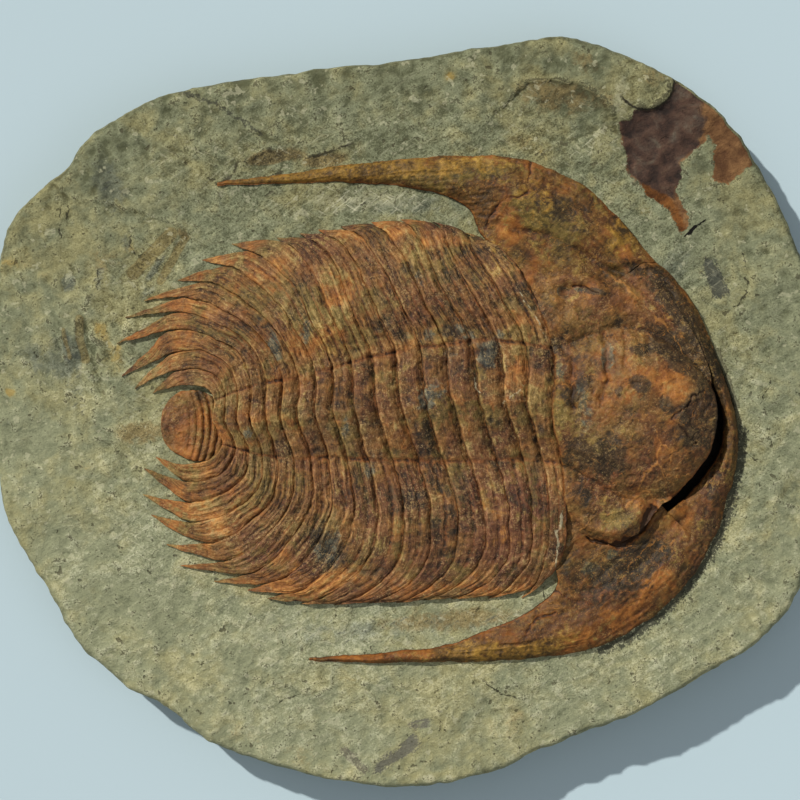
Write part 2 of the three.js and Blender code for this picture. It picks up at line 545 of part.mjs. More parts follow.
// The block: rings from the sawn back up the broken side to the bedding plane
function blockSurface() {
  const count = BLOCK_SIDES;
  const curve = new THREE.CatmullRomCurve3(
    BLOCK_OUTLINE.map(([x, y]) => new THREE.Vector3(x, y, 0)), true, 'centripetal',
  );
  const outline = stationsBetween(0, 1, count).slice(0, count).map((t) => curve.getPoint(t));
  const raw = [];
  const faces = [];
  BLOCK_RINGS.forEach(([share, height, spread, lift], r) => {
    outline.forEach((spot, n) => {
      const angle = (2 * Math.PI * n) / count;
      const out = share + (2 * spread * ROUGHNESS * rough(angle, r * 1.7)) / BLOCK_LENGTH;
      const up = height + lift * ROUGHNESS * rough(angle, r * 2.9 + 1);
      raw.push(new THREE.Vector3(spot.x * out, spot.y * out, up));
    });
  });
  // The rings are fitted to the block's length and width, centred on the origin
  const box = new THREE.Box3().setFromPoints(raw);
  const fit = (value, low, high, size) => ((value - low) / (high - low) - 0.5) * size;
  const points = raw.map(({ x, y, z }) => [
    fit(x, box.min.x, box.max.x, BLOCK_LENGTH), fit(y, box.min.y, box.max.y, BLOCK_WIDTH), z,
  ]);
  points.push([0, 0, 0], [0, 0, BED_HEIGHT]);
  const [hub, crown] = [points.length - 2, points.length - 1];
  for (let n = 0; n < count; n += 1) {
    const m = (n + 1) % count;
    for (let r = 0; r < BLOCK_RINGS.length - 1; r += 1) {
      faces.push([r * count + n, r * count + m, (r + 1) * count + m]);
      faces.push([r * count + n, (r + 1) * count + m, (r + 1) * count + n]);
    }
    const inner = (BLOCK_RINGS.length - 1) * count;
    faces.push([m, n, hub], [inner + n, inner + m, crown]);
  }
  return { points, faces };
}

// Outline of the iron-stained scar beside the round flake, and the crack at its foot
const STAIN_OUTLINE = [[122, 147], [131, 142], [141, 134], [150, 123], [154, 113], [148, 105],
  [140, 105], [138, 121], [127, 114], [123, 98], [128, 85], [122, 82], [118, 92], [101, 104],
  [99, 118], [95, 129]];
const CRACK_POINTS = [[125, 77.5], [130, 83], [135, 89]];
const FLAKE_MIDDLE = [109.5, 145.5];

// An upright prism over an outline, between two heights
function prism(outline, from, to) {
  const geometry = new THREE.ExtrudeGeometry(
    new THREE.Shape(outline.map(vector)),
    { depth: to - from, bevelEnabled: false },
  );
  geometry.translate(0, 0, from);
  return geometry;
}

const wasm = await Module();
wasm.setup();

// Closed triangles to a solid, with shared corners merged by position
function toSolid(points, faces) {
  const places = new Map();
  const merged = [];
  const remap = points.map((spot) => {
    const key = spot.map((value) => value.toFixed(5)).join(' ');
    if (!places.has(key)) {
      places.set(key, merged.length / 3);
      merged.push(...spot);
    }
    return places.get(key);
  });
  return new wasm.Manifold(new wasm.Mesh({
    numProp: 3,
    vertProperties: new Float32Array(merged),
    triVerts: new Uint32Array(faces.flat().map((n) => remap[n])),
  }));
}

function geometryToSolid(geometry) {
  const flat = geometry.index ? geometry.toNonIndexed() : geometry;
  const position = flat.attributes.position;
  const points = [];
  const faces = [];
  for (let n = 0; n < position.count; n += 1) {
    points.push([position.getX(n), position.getY(n), position.getZ(n)]);
    if (n % 3 === 2) faces.push([n - 2, n - 1, n]);
  }
  return toSolid(points, faces);
}

// The block with its scar, its crack and its flake
function block() {
  const surface = blockSurface();
  const [fx, fy] = FLAKE_MIDDLE;
  const flakeOutline = stationsBetween(0, 1, ROUND_SIDES).slice(0, ROUND_SIDES).map((t) => [
    fx + FLAKE_RADIUS * Math.cos(2 * Math.PI * t),
    fy + FLAKE_RADIUS * Math.sin(2 * Math.PI * t),
  ]);
  const crackSides = CRACK_POINTS.map(([x, y]) => [x - CRACK_WIDTH / 2, y + CRACK_WIDTH / 2])
    .concat(CRACK_POINTS.map(([x, y]) => [x + CRACK_WIDTH / 2, y - CRACK_WIDTH / 2]).reverse());
  const [below, above] = [(depth) => BED_HEIGHT - depth, (rise) => BED_HEIGHT + rise];
  const stain = prism(STAIN_OUTLINE, below(STAIN_DEPTH), above(CUT_ABOVE));
  const crack = prism(crackSides, below(CRACK_DEPTH), above(CUT_ABOVE));
  const flake = prism(flakeOutline, below(FLAKE_ROOT), above(FLAKE_RISE));
  const solid = toSolid(surface.points, surface.faces)
    .subtract(geometryToSolid(stain))
    .subtract(geometryToSolid(crack))
    .add(geometryToSolid(flake));
  const result = solid.getMesh();
  const points = [];
  const faces = [];
  for (let n = 0; n < result.vertProperties.length; n += result.numProp) {
    points.push(Array.from(result.vertProperties.slice(n, n + 3)));
  }
  for (let n = 0; n < result.triVerts.length; n += 3) {
    faces.push(Array.from(result.triVerts.slice(n, n + 3)));
  }
  return meshFrom(points, faces, STONE, 'matrix_slab');
}

const group = new THREE.Group();
group.add(block());
group.add(solidUnder(cranidiumGrid(), SHELL_HEAD, 'cranidium', true));
const borderStations = HEAD_STATIONS.map((station) => (
  (SHIELD_STATIONS * (station - FIRST_STATION)) / STATION_SPAN
));
const border = bandGrid(
  BORDER_OUTER, BORDER_INNER, borderStations, BORDER_BAND_SHARES, BORDER_HEIGHTS, BORDER_SHARES,
);
group.add(solidUnder(border, SHELL_CHEEK, 'front_border'));
const leftCheek = bandGrid(
  LEFT_CHEEK_OUTER, LEFT_CHEEK_INNER, cheekStations(LEFT_SUTURE), BAND_SHARES,
  LEFT_CHEEK_HEIGHTS, LEFT_CHEEK_SHARES,
);
group.add(solidUnder(leftCheek, SHELL_CHEEK, 'left_free_cheek'));
const rightCheek = bandGrid(
  RIGHT_CHEEK_OUTER, RIGHT_CHEEK_INNER, cheekStations(RIGHT_SUTURE), BAND_SHARES,
  RIGHT_CHEEK_HEIGHTS, RIGHT_CHEEK_SHARES,
);
group.add(solidUnder(rightCheek, SHELL_CHEEK, 'right_free_cheek'));
for (let segment = 1; segment <= SEGMENT_COUNT; segment += 1) {
  const name = `thoracic_segment_${String(segment).padStart(2, '0')}`;
  group.add(solidUnder(segmentGrid(segment), SHELL_BODY, name));
}
group.add(tailPlate());

export default group;
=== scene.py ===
# %% [markdown]
# # A fossil trilobite on its block of mudstone
# The real object is a sea animal's shell, turned to stone and laid bare with fine tools on a
# rounded block. The construction is already there as plain solids: the block, four plates of
# the head shield, seventeen body segments and the tail plate. This lesson gives each of them
# its finished surface. Every surface is a grid of points worked out by a formula, because a
# formula can be tuned against a photograph, one number at a time.

# %% Load the solids
import math
import bpy
import numpy as np
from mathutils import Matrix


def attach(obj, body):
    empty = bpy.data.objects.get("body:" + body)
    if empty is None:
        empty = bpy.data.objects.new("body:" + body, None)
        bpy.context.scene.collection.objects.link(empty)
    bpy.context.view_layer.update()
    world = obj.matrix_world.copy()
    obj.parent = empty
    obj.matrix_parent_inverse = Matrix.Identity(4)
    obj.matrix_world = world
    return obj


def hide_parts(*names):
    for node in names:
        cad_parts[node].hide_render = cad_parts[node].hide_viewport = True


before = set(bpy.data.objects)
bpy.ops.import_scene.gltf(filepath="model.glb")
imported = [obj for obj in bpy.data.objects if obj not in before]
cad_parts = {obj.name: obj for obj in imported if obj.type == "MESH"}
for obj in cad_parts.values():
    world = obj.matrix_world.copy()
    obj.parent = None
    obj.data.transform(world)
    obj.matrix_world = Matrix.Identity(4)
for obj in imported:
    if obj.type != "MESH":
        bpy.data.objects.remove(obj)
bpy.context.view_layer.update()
MM = 0.001

# %% [markdown]
# ## Sizes shared with the solids
# The rails run along the body and cross every seam between two segments. A seam has a number,
# 0 in front of the first segment and 17 behind the last, and a rail is a list of seam number,
# x and y in millimetres. The visible plates follow the same rails as the solids, so they sit
# in the same places.

# %% Rails, tips and heights
BED = 26.0
SEAM = 0.4
SEGMENTS = 17
TIP_WIDTH = 0.7
RING_SWING = 2.3
SPINE_BOW = 0.1
SPINE_WAIST = 0.62
BEHIND_HEAD = 0.7
EDGE_LIP = 0.9

RAILS = {
    "left_bend": [(0, 39.5, 74.5), (2, 18, 76), (5, -14, 69.5), (8, -42.5, 64), (10, -65, 56),
                  (12, -81.5, 45), (14, -88, 34), (17, -94.5, 12)],
    "left_flank": [(0, 56, 51.5), (2, 30, 50.5), (5, -2.5, 48), (8, -32, 39), (11, -56.5, 33.5),
                   (14, -75.5, 26.5), (17, -89.5, 10.5)],
    "left_furrow": [(0, 64.5, 29), (2, 40.5, 32.5), (5, 5.5, 29), (8, -25, 22.5),
                    (11, -48.5, 16), (14, -70, 11), (17, -86.5, 5.5)],
    "right_furrow": [(0, 68.5, -23), (2, 52, -21.5), (5, 16.5, -22), (8, -17, -21.5),
                     (11, -43, -20.5), (14, -65, -19.5), (17, -83, -14.5)],
    "right_flank": [(0, 69.5, -46.5), (2, 56, -45), (5, 23, -45), (8, -13, -45),
                    (11, -42, -40.5), (14, -66.5, -33.5), (17, -86.5, -19.5)],
    "right_bend": [(0, 68, -67.5), (2, 54.5, -67.5), (5, 20.5, -67.5), (8, -18, -68),
                   (11, -55, -61), (13, -72.5, -52), (15, -85, -37.5), (17, -93, -22.5)],
}
LEFT_TIPS = [
    (26.5, 80.4), (11.5, 85), (-2.5, 86), (-16, 84.5), (-29, 83.5), (-39, 82), (-48, 80.5),
    (-58, 78.5), (-78.5, 75.5), (-92, 68), (-103, 59.5), (-118, 50.5), (-126, 42.5),
    (-129.5, 31), (-127.5, 16), (-122, 10.5), (-113.5, 8.6),
]
RIGHT_TIPS = [
    (52, -83.5), (36.5, -84), (20.5, -84.2), (8, -84.8), (-4.5, -85.6), (-17.5, -86.2),
    (-32, -86.8), (-47, -86.2), (-62, -84), (-71.5, -80), (-86, -76), (-101, -69.5),
    (-107.5, -60), (-115, -46.5), (-118, -36.5), (-117, -25), (-112, -20),
]
LEFT = dict(tips=LEFT_TIPS, bend="left_bend", turn=-1,
            parting=[(0, 0.4), (1, 0.6), (3, 0.7), (8, 0.66), (10, 0.46), (17, 0.28)])
RIGHT = dict(tips=RIGHT_TIPS, bend="right_bend", turn=1,
             parting=[(0, 0.4), (1, 0.5), (2, 0.7), (3, 0.78), (8, 0.78), (10, 0.5), (17, 0.28)])
CREST = [(1, 15), (9, 12.6), (17, 6)]
FURROW = [(1, 9.4), (9, 8), (17, 4.6)]
FLANK = [(1, 10.4), (9, 9.2), (17, 4.8)]
BEND = [(1, 6.8), (9, 5.8), (17, 3.6)]
PARTING = [(1, 3.6), (17, 2.6)]
WAIST = [(1, 2.4), (17, 1.9)]
TIP_HEIGHT = 1.0

# %% [markdown]
# ## Curves through a few points
# Two kinds of curve carry everything here. One is a cubic through rows of numbers, used for
# outlines and heights. The other is the edge of a segment: it also takes a direction at some
# of its points, because two neighbouring spines must leave their shared seam the same way.


# %% Curves
def through(rows, t):
    """Cubic Hermite curve through rows (t, a, b, ...): the slope at each row is that of the
    line between its neighbours, and t outside the rows is held at the ends."""
    rows = np.asarray(rows, float)
    knots, values = rows[:, 0], rows[:, 1:]
    t = np.clip(np.asarray(t, float), knots[0], knots[-1])
    k = np.clip(np.searchsorted(knots, t, side="right") - 1, 0, len(knots) - 2)
    slopes = np.empty_like(values)
    slopes[1:-1] = (values[2:] - values[:-2]) / (knots[2:] - knots[:-2])[:, None]
    slopes[0] = (values[1] - values[0]) / (knots[1] - knots[0])
    slopes[-1] = (values[-1] - values[-2]) / (knots[-1] - knots[-2])
    span = (knots[k + 1] - knots[k])[..., None]
    f = (t - knots[k])[..., None] / span
    points = (2 * f**3 - 3 * f**2 + 1) * values[k] + (3 * f**2 - 2 * f**3) * values[k + 1]
    return points + ((f**3 - 2 * f**2 + f) * slopes[k] + (f**3 - f**2) * slopes[k + 1]) * span


def ramp(rows, t):
    """Straight lines through rows (t, value)."""
    rows = np.asarray(rows, float)
    return np.interp(t, rows[:, 0], rows[:, 1])


def smooth(low, high, value):
    """0 below low, 1 above high, and 3f^2 - 2f^3 between them."""
    f = np.clip((np.asarray(value, float) - low) / (high - low), 0, 1)
    return f * f * (3 - 2 * f)


def unit(v):
    """The same direction with length 1."""
    return v / np.maximum(np.linalg.norm(v, axis=-1, keepdims=True), 1e-9)


def edge_curve(points, fixed, u):
    """Hermite curve whose span k runs between points k and k+1. A direction that isn't in
    fixed is the mean of the two chords, each weighted by the other's length."""
    points = np.asarray(points, float)
    chords = np.diff(points, axis=0)
    lengths = np.maximum(np.linalg.norm(chords, axis=1), 1e-6)
    ways = chords / lengths[:, None]
    tangents = np.empty_like(points)
    tangents[0], tangents[-1] = ways[0], ways[-1]
    back, on = lengths[:-1, None], lengths[1:, None]
    tangents[1:-1] = (ways[1:] * back + ways[:-1] * on) / (back + on)
    for place, way in fixed.items():
        tangents[place] = way
    k = np.minimum(np.floor(u).astype(int), len(points) - 2)
    f = (u - k)[:, None]
    h = lengths[k][:, None]
    curve = (2 * f**3 - 3 * f**2 + 1) * points[k] + (3 * f**2 - 2 * f**3) * points[k + 1]
    return curve + ((f**3 - 2 * f**2 + f) * tangents[k] + (f**3 - f**2) * tangents[k + 1]) * h


# %% [markdown]
# ## Roughness without a random generator
# Stone is uneven at every scale. Value noise gives each whole-numbered point of a lattice a
# fixed number made from its coordinates, and blends between them. Adding layers, each half as
# large and twice as fine, gives bumps of all sizes. The same numbers come out in every run.


# %% Noise
def lattice(ix, iy, seed):
    """A number from -1 to 1 for each whole-numbered point, mixed from its coordinates."""
    mask = 0xFFFFFFFF
    n = (ix * 374761393 + iy * 668265263 + seed * 1442695041) & mask
    n = ((n ^ (n >> 13)) * 1274126177) & mask
    n = n ^ (n >> 16)
    return (n & 0xFFFF) / 32767.5 - 1


def noise(x, y, size, seed, layers=3, gain=0.5):
    """Sum of layers of blended lattice values, the first with cells of the given size."""
    total, weight, most = 0.0, 1.0, 0.0
    for layer in range(layers):
        px, py = x / size * 2**layer, y / size * 2**layer
        ix, iy = np.floor(px).astype(np.int64), np.floor(py).astype(np.int64)
        fx, fy = px - ix, py - iy
        fx, fy = fx * fx * (3 - 2 * fx), fy * fy * (3 - 2 * fy)
        s = seed + 17 * layer
        low = lattice(ix, iy, s) * (1 - fx) + lattice(ix + 1, iy, s) * fx
        high = lattice(ix, iy + 1, s) * (1 - fx) + lattice(ix + 1, iy + 1, s) * fx
        total = total + weight * (low * (1 - fy) + high * fy)
        most += weight
        weight *= gain
    return total / most


def creased(x, y, size, seed, layers=3):
    """Sharp crests where noise crosses zero: 1 on the crest, falling to about -1 beside it."""
    return 1 - 4 * np.abs(noise(x, y, size, seed, layers))


def near_line(x, y, line):
    """Distance of each point from a polyline, in millimetres."""
    best = np.full(np.shape(x), 1e9)
    line = np.asarray(line, float)
    for a, b in zip(line[:-1], line[1:]):
        d = b - a
        f = np.clip(((x - a[0]) * d[0] + (y - a[1]) * d[1]) / (d @ d), 0, 1)
        best = np.minimum(best, np.hypot(x - a[0] - f * d[0], y - a[1] - f * d[1]))
    return best


def inside_by(x, y, outline):
    """Signed distance from a closed outline: positive inside it, negative outside."""
    outline = np.asarray(outline, float)
    odd = np.zeros(np.shape(x), bool)
    for (ax, ay), (bx, by) in zip(outline, np.roll(outline, -1, axis=0)):
        crosses = (ay > y) != (by > y)
        odd ^= crosses & (x < (bx - ax) * (y - ay) / (by - ay + 1e-12) + ax)
    distance = near_line(x, y, np.vstack([outline, outline[:1]]))
    return np.where(odd, distance, -distance)


def spots(x, y, rows):
    """Sum of soft ellipses, each (x, y, half length, half width, turn in degrees, strength)."""
    total = np.zeros(np.shape(x))
    for cx, cy, long, wide, turn, strength in rows:
        c, s = math.cos(math.radians(turn)), math.sin(math.radians(turn))
        a = ((x - cx) * c + (y - cy) * s) / long
        b = ((y - cy) * c - (x - cx) * s) / wide
        total += strength * np.exp(-((a * a + b * b) ** 1.5))
    return total


# %% [markdown]
# ## What time did to the shell
# The shell was pressed flat, cracked and weathered before it was found. These rules hold for
# every plate of it. One shifts points a little so that seams waver, one crumples the surface
# and breaks off flakes, and the tables say where iron, manganese, algae-green film and dark
# films lie. Each row is one patch that shows on the real piece.

# %% Weathering of the shell
WARM = [
    (-14, -109, 26, 4, 2, 1.0),
    (-38, 32, 14, 12, 0, 0.6), (104, -84, 22, 7, 40, 0.6), (136, -38, 5, 20, -15, 0.4),
    (-5, 80, 45, 5, -5, 0.6), (-75, 62, 26, 14, 25, 0.4), (-112, 37, 18, 24, 0, 0.5),
    (-95, -8, 17, 15, 0, 0.4), (-93, -49, 28, 20, -30, 0.5), (25, -81, 42, 5, 0, 0.8),
    (-48, -77, 30, 7, 8, 0.8), (105, 19, 20, 16, 0, 0.6), (87, 5, 12, 12, 0, 0.5),
    (51, 112, 26, 3.5, -6, 0.6), (92, 95, 20, 4, -42, 0.8), (112, 72, 15, 4, -50, 0.8),
    (98, 71, 7, 4, -20, 0.8), (87, -99, 26, 6, 22, 0.8),
    (47, 14, 8, 18, 0, 0.6), (114, -18, 6, 13, 0, 0.35),
    (55, 70, 14, 9, -30, 0.35), (108, -78, 20, 4, 45, 0.4), (-30, 60, 20, 9, -50, 0.35),
    (118, 6, 8, 14, 0, 0.5), (-60, 0, 30, 14, 0, 0.3), (44, 86, 6, 10, 0, 0.6),
    (78, -57, 7, 4, 20, 0.5), (125, -50, 10, 5, 60, 0.35),
]
DARK = [
    (73, 7, 3, 4, 0, 1.0), (8, -12, 4, 12, 0, 0.2), (-1, 33, 5, 4, 0, 0.5),
    (-13, -14, 5, 12, 0, 0.4), (42, -24, 5, 10, 0, 0.5),
    (22, 59, 12, 16, -60, 0.35), (33, 77, 7, 5, 0, 0.4), (-7, 39, 7, 6, 0, 0.6),
    (20, 36, 6, 3.5, 0, 1.0), (3, 66, 4, 6, 20, 0.7), (-57, 30, 4, 12, 20, 0.6),
    (-36, -60, 9, 14, 15, 0.9), (15, -40, 16, 18, 0, 0.45), (20, -66, 14, 7, 0, 0.4),
    (58, -4, 4, 18, 0, 0.45), (63, 8, 4, 22, 0, 0.5), (74, -9, 6, 14, 0, 0.55),
    (95, 9, 3, 3, 0, 0.8), (131, -2, 8, 12, -10, 2.6), (87, -19, 14, 10, 0, 0.9),
    (128, 37, 6, 22, 30, 0.9), (139, 5, 4, 17, 15, 0.7), (110, -67, 14, 10, 45, 0.45),
    (87, -66, 12, 8, 0, 0.5), (76, 84, 11, 5, -30, 0.5), (-93, 8, 5, 5, 0, 0.6),
    (48, 58, 8, 12, 30, 0.4), (98, 38, 8, 6, 0, 0.4), (-25, -30, 10, 12, 0, 0.2),
    (-3, -40, 12, 9, 0, 0.4), (65, 30, 4, 4, 0, 0.6),
    (104, 28, 6, 4, 0, 0.8), (103.6, 12.7, 5, 4, 0, 1.0), (115, 4, 4, 4, 0, 0.8),
    (80, 12, 5, 5, 0, 0.6), (76, -38, 10, 8, 0, 0.4), (98, 84, 16, 5, -35, 0.4),
    (83, 54, 7, 1.6, -10, 0.9), (70, 33, 5, 8, 0, 0.4), (36, -10, 4, 14, 10, 0.5),
    (-6, -42, 14, 8, 0, 0.25), (97, -72, 16, 10, 35, 0.5), (66, 94, 12, 7, -20, 0.5),
    (139, -31, 5, 12, -15, 0.5), (114, 54, 20, 7, -50, 0.7),
    (9, -8, 5, 12, 10, 0.3), (121, 26, 17, 6, -42, 1.4), (57, 47, 5, 9, 20, 0.5),
]
GOLD = [
    (-45, 105, 42, 5, 7, 1.1), (10, 110, 40, 5, 2, 0.7), (34, -108, 26, 5, 2, 0.8),
    (64, -104, 16, 4, 15, 0.6), (60, 96, 14, 9, -20, 0.4),
    (-100, 30, 12, 10, 0, 0.3), (40, 70, 14, 10, -40, 0.3), (96, 80, 9, 11, -20, 0.7),
    (-34, 32, 10, 9, 0, 0.5), (20, 30, 14, 5, 0, 0.3),
]
COLD = [
    (20.5, 25, 4, 6, 0, 0.55), (10, 35, 4, 4, 0, 0.7), (-1, 33, 5, 4, 0, 0.6),
    (68, 17, 4, 7, 0, 0.5),
    (35.5, 25, 5, 7, 0, 0.9), (8.5, 5, 5, 5, 0, 0.8), (15, 11, 5, 6, 0, 0.6),
    (-59, 30, 3, 11, 15, 0.8), (-45.5, 35, 3, 6, 0, 0.6), (-27.5, -4, 3, 8, 0, 0.6),
    (-34, -60, 8, 11, 20, 0.6), (-16, -26, 3.5, 8, 0, 0.5), (69.3, 54, 2, 2, 0, 0.8),
    (89.5, 24, 4, 8, 0, 0.9), (74, -60, 4, 4, 0, 0.5), (83, -71, 5, 5, 0, 0.5),
    (92, -64, 3, 3, 0, 0.6), (6, 60, 3, 5, 20, 0.5), (24, 38, 4, 3, 0, 0.6),
    (-40, -22, 3, 9, 0, 0.4), (127, 4, 4, 4, 0, 0.5), (-70, -10, 3, 7, 0, 0.4), (70.8, 53, 2.6, 2.6, 0, 1.0), (79, 54.8, 5, 1.3, -6, 0.7),
    (77, 10, 3, 5, 0, 0.7), (80, -2, 5, 8, 0, 0.5), (42, 34, 4, 5, 0, 0.5), (28, 34, 4, 4, 0, 0.6),
]
OLIVE = [
    (60, 88, 19, 9, -25, 0.9), (83, 97, 16, 3, -35, 0.6), (67, 5, 4, 20, 0, 0.8),
    (-118, 35, 10, 22, 0, 0.4), (-105, -50, 10, 14, 0, 0.4), (-70, 70, 22, 5, 30, 0.4),
    (6, 73, 8, 5, 0, 0.5), (-48, 46, 20, 12, 30, 0.4), (33, -13, 14, 7, 0, 0.3),
    (96, -49, 13, 6, 0, 0.7), (-12, -68, 14, 8, 0, 0.4), (15, 104, 22, 5, 5, 0.7),
    (78, 20, 5, 12, 0, 0.4), (70, 75, 10, 8, 0, 0.45), (0, 109, 66, 4, 0, 0.9),
    (-30, 40, 16, 16, 0, 0.4), (-50, 106, 20, 3, 8, 0.5),
    (76, -2, 5, 14, 0, 0.4), (88, -12, 10, 8, 0, 0.4),
]
RED = [
    (-60, -66, 26, 14, -10, 0.55),
    (92, -88, 28, 12, 35, 0.7), (128, -56, 10, 16, -40, 0.6),
    (113, 52, 22, 9, -45, 0.9), (22, -109, 40, 5, 2, 0.6), (-10, -45, 24, 14, 0, 0.5),
    (96, -22, 18, 12, 0, 0.7), (137, -35, 6, 16, -15, 0.8), (105, -76, 18, 10, 30, 0.6),
    (45, -45, 22, 28, 10, 0.8), (0, -70, 30, 10, 0, 0.5), (5, 50, 20, 16, 0, 0.3),
    (42, -58, 12, 15, 0, 0.45), (-39, 77, 10, 4, 0, 0.5), (22, 5, 14, 12, 0, 0.45),
    (80, 40, 12, 8, 0, 0.4), (60, -88, 16, 6, 20, 0.4), (0, -30, 14, 9, 0, 0.3),
]
CRACKS = [
    [(56, 113), (54, 98), (42.5, 95), (38, 88), (35, 82)],
    [(54, -100), (58, -93), (66, -90)], [(64, -79), (74, -84), (84, -86)],
    [(129, -14), (118, -3), (124.5, 3), (131, 10)], [(75, 56), (80, 56.5), (86, 54)],
]
# A groove under the raised lip of the right eye lobe; it feeds the groove attribute, so the paint darkens it
# as its shadow.
CRESCENT = [[(110, -42.5), (107.8, -47), (105.5, -52), (102, -56), (97, -58.8), (92, -59.6),
             (86, -58.4), (81, -55.4)]]
CHALK = [
    [(69.5, -42), (70, -48), (67, -54), (68.5, -62), (67.8, -70), (64.5, -77)],
    [(43, 3.6), (47, 7), (52, 12)], [(30, 20), (31, 12), (33, 8)], [(62, 33), (58, 42), (50, 54)],
]
VEINS = [
    [(87, 65), (97, 57), (107, 48), (116, 38), (124, 26)],
    [(110, -6), (113, -14), (111, -22), (115, -30)], [(113, -14), (118, -17), (118, -24)],
    [(111, -22), (106, -27), (103, -34)], [(106, -35), (111, -38), (117, -40)],
    [(78, -53), (86, -46), (97, -44), (104, -38)], [(99, -70), (107, -62), (112, -57)],
    [(92, -90), (104, -84), (110, -76)], [(115, -62), (121, -56), (120, -49)],
]
FURROW_LINES = [  # [points of a furrow across the head shield], half width, depth
    ([(47, 82), (62.5, 79.7), (76, 73), (87.3, 66.2), (96.3, 61.7), (110, 50.4), (121, 36),
      (132.3, 21.2)], 1.5, 1.1),
    ([(64.4, -77), (78.3, -81), (87.3, -79.2), (98.6, -73.4), (107.6, -66.6), (112, -62),
      (116.6, -53), (125.6, -46.4)], 1.3, 0.7),
]


def settle(x, y):
    """Small shifts, shared by all plates, that make every seam waver."""
    dx = 1.0 * noise(x, y, 17, 201, 2) + 0.6 * noise(x, y, 4.2, 203, 3, 0.6)
    dy = 0.8 * noise(x, y, 17, 205, 2) + 0.5 * noise(x, y, 4.2, 207, 3, 0.6)
    return x + dx, y + dy


def drawn(x, y, lines, width):
    """1 on ragged lines through the given points, fading out within about the width."""
    x, y = x + 1.6 * noise(x, y, 3.6, 57, 3), y + 1.6 * noise(x, y, 3.6, 58, 3)
    gap = np.full(np.shape(x), 1e9)
    for line in lines:
        gap = np.minimum(gap, near_line(x, y, line))
    width = np.maximum(width * (1 + 1.8 * noise(x, y, 6.0, 59, 2)), 0.12)
    return np.exp(-((gap / width) ** 2))


def crumple(x, y, firm):
    """Relief from pressing and weathering, in millimetres, and where flakes came off. The
    finest layers are weaker where firm is small, as on thin rims."""
    broad = 0.8 * noise(x, y, 23, 211, 2) + 0.6 * noise(x, y, 8, 213, 3)
    fine = 0.28 * creased(x, y, 7, 217, 4) + 0.3 * noise(x, y, 2.6, 219, 3)
    flaked = smooth(0.14, 0.19, noise(x, y, 12, 223, 5, 0.6))
    crack = np.maximum(drawn(x, y, CRACKS, 0.5), 2.0 * drawn(x, y, CRESCENT, 1.3))
    marks = dict(flaked=flaked, crack=crack, vein=drawn(x, y, VEINS, 0.55),
                 chalk=drawn(x, y, CHALK, 0.36), patch=noise(x, y, 9.0, 227, 3))
    height = firm * (broad + fine - 0.35 * flaked - 0.9 * marks["crack"]) + 0.2 * marks["vein"]
    return height, marks


def stains(x, y):
    """The masks that the paint reads, one attribute for each kind of film."""
    rows = dict(warm=WARM, dark=DARK, cold=COLD, olive=OLIVE, red=RED, gold=GOLD)
    return {name: spots(x, y, table) for name, table in rows.items()}


# %% [markdown]
# ## From a grid to a closed mesh
# Each plate is a skin of grid points with walls down to the bed. A closed mesh needs no
# hidden trick: the rim of the grid is repeated at the bed, joined by walls, and the bottom is
# closed by strips between the two long edges, or by a fan where the plate is broad.
# Numbers that the paint needs later, such as how deep a point lies in a groove, are stored on
# the points as attributes.


# %% Mesh builder
def finish_piece(name, points, faces, attributes, node):
    """Blender object from points in millimetres, with smooth shading and its attributes."""
    mesh = bpy.data.meshes.new(name)
    mesh.from_pydata((points * MM).tolist(), [], faces)
    for label, values in attributes.items():
        layer = mesh.attributes.new(label, "FLOAT", "POINT")
        layer.data.foreach_set("value", values.astype(np.float32))
    mesh.polygons.foreach_set("use_smooth", np.ones(len(mesh.polygons), bool))
    piece = bpy.data.objects.new(name, mesh)
    bpy.context.collection.objects.link(piece)
    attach(piece, "root")
    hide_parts(node)
    print(f"{name}: {sum(len(face) - 2 for face in faces)} triangles")
    return piece


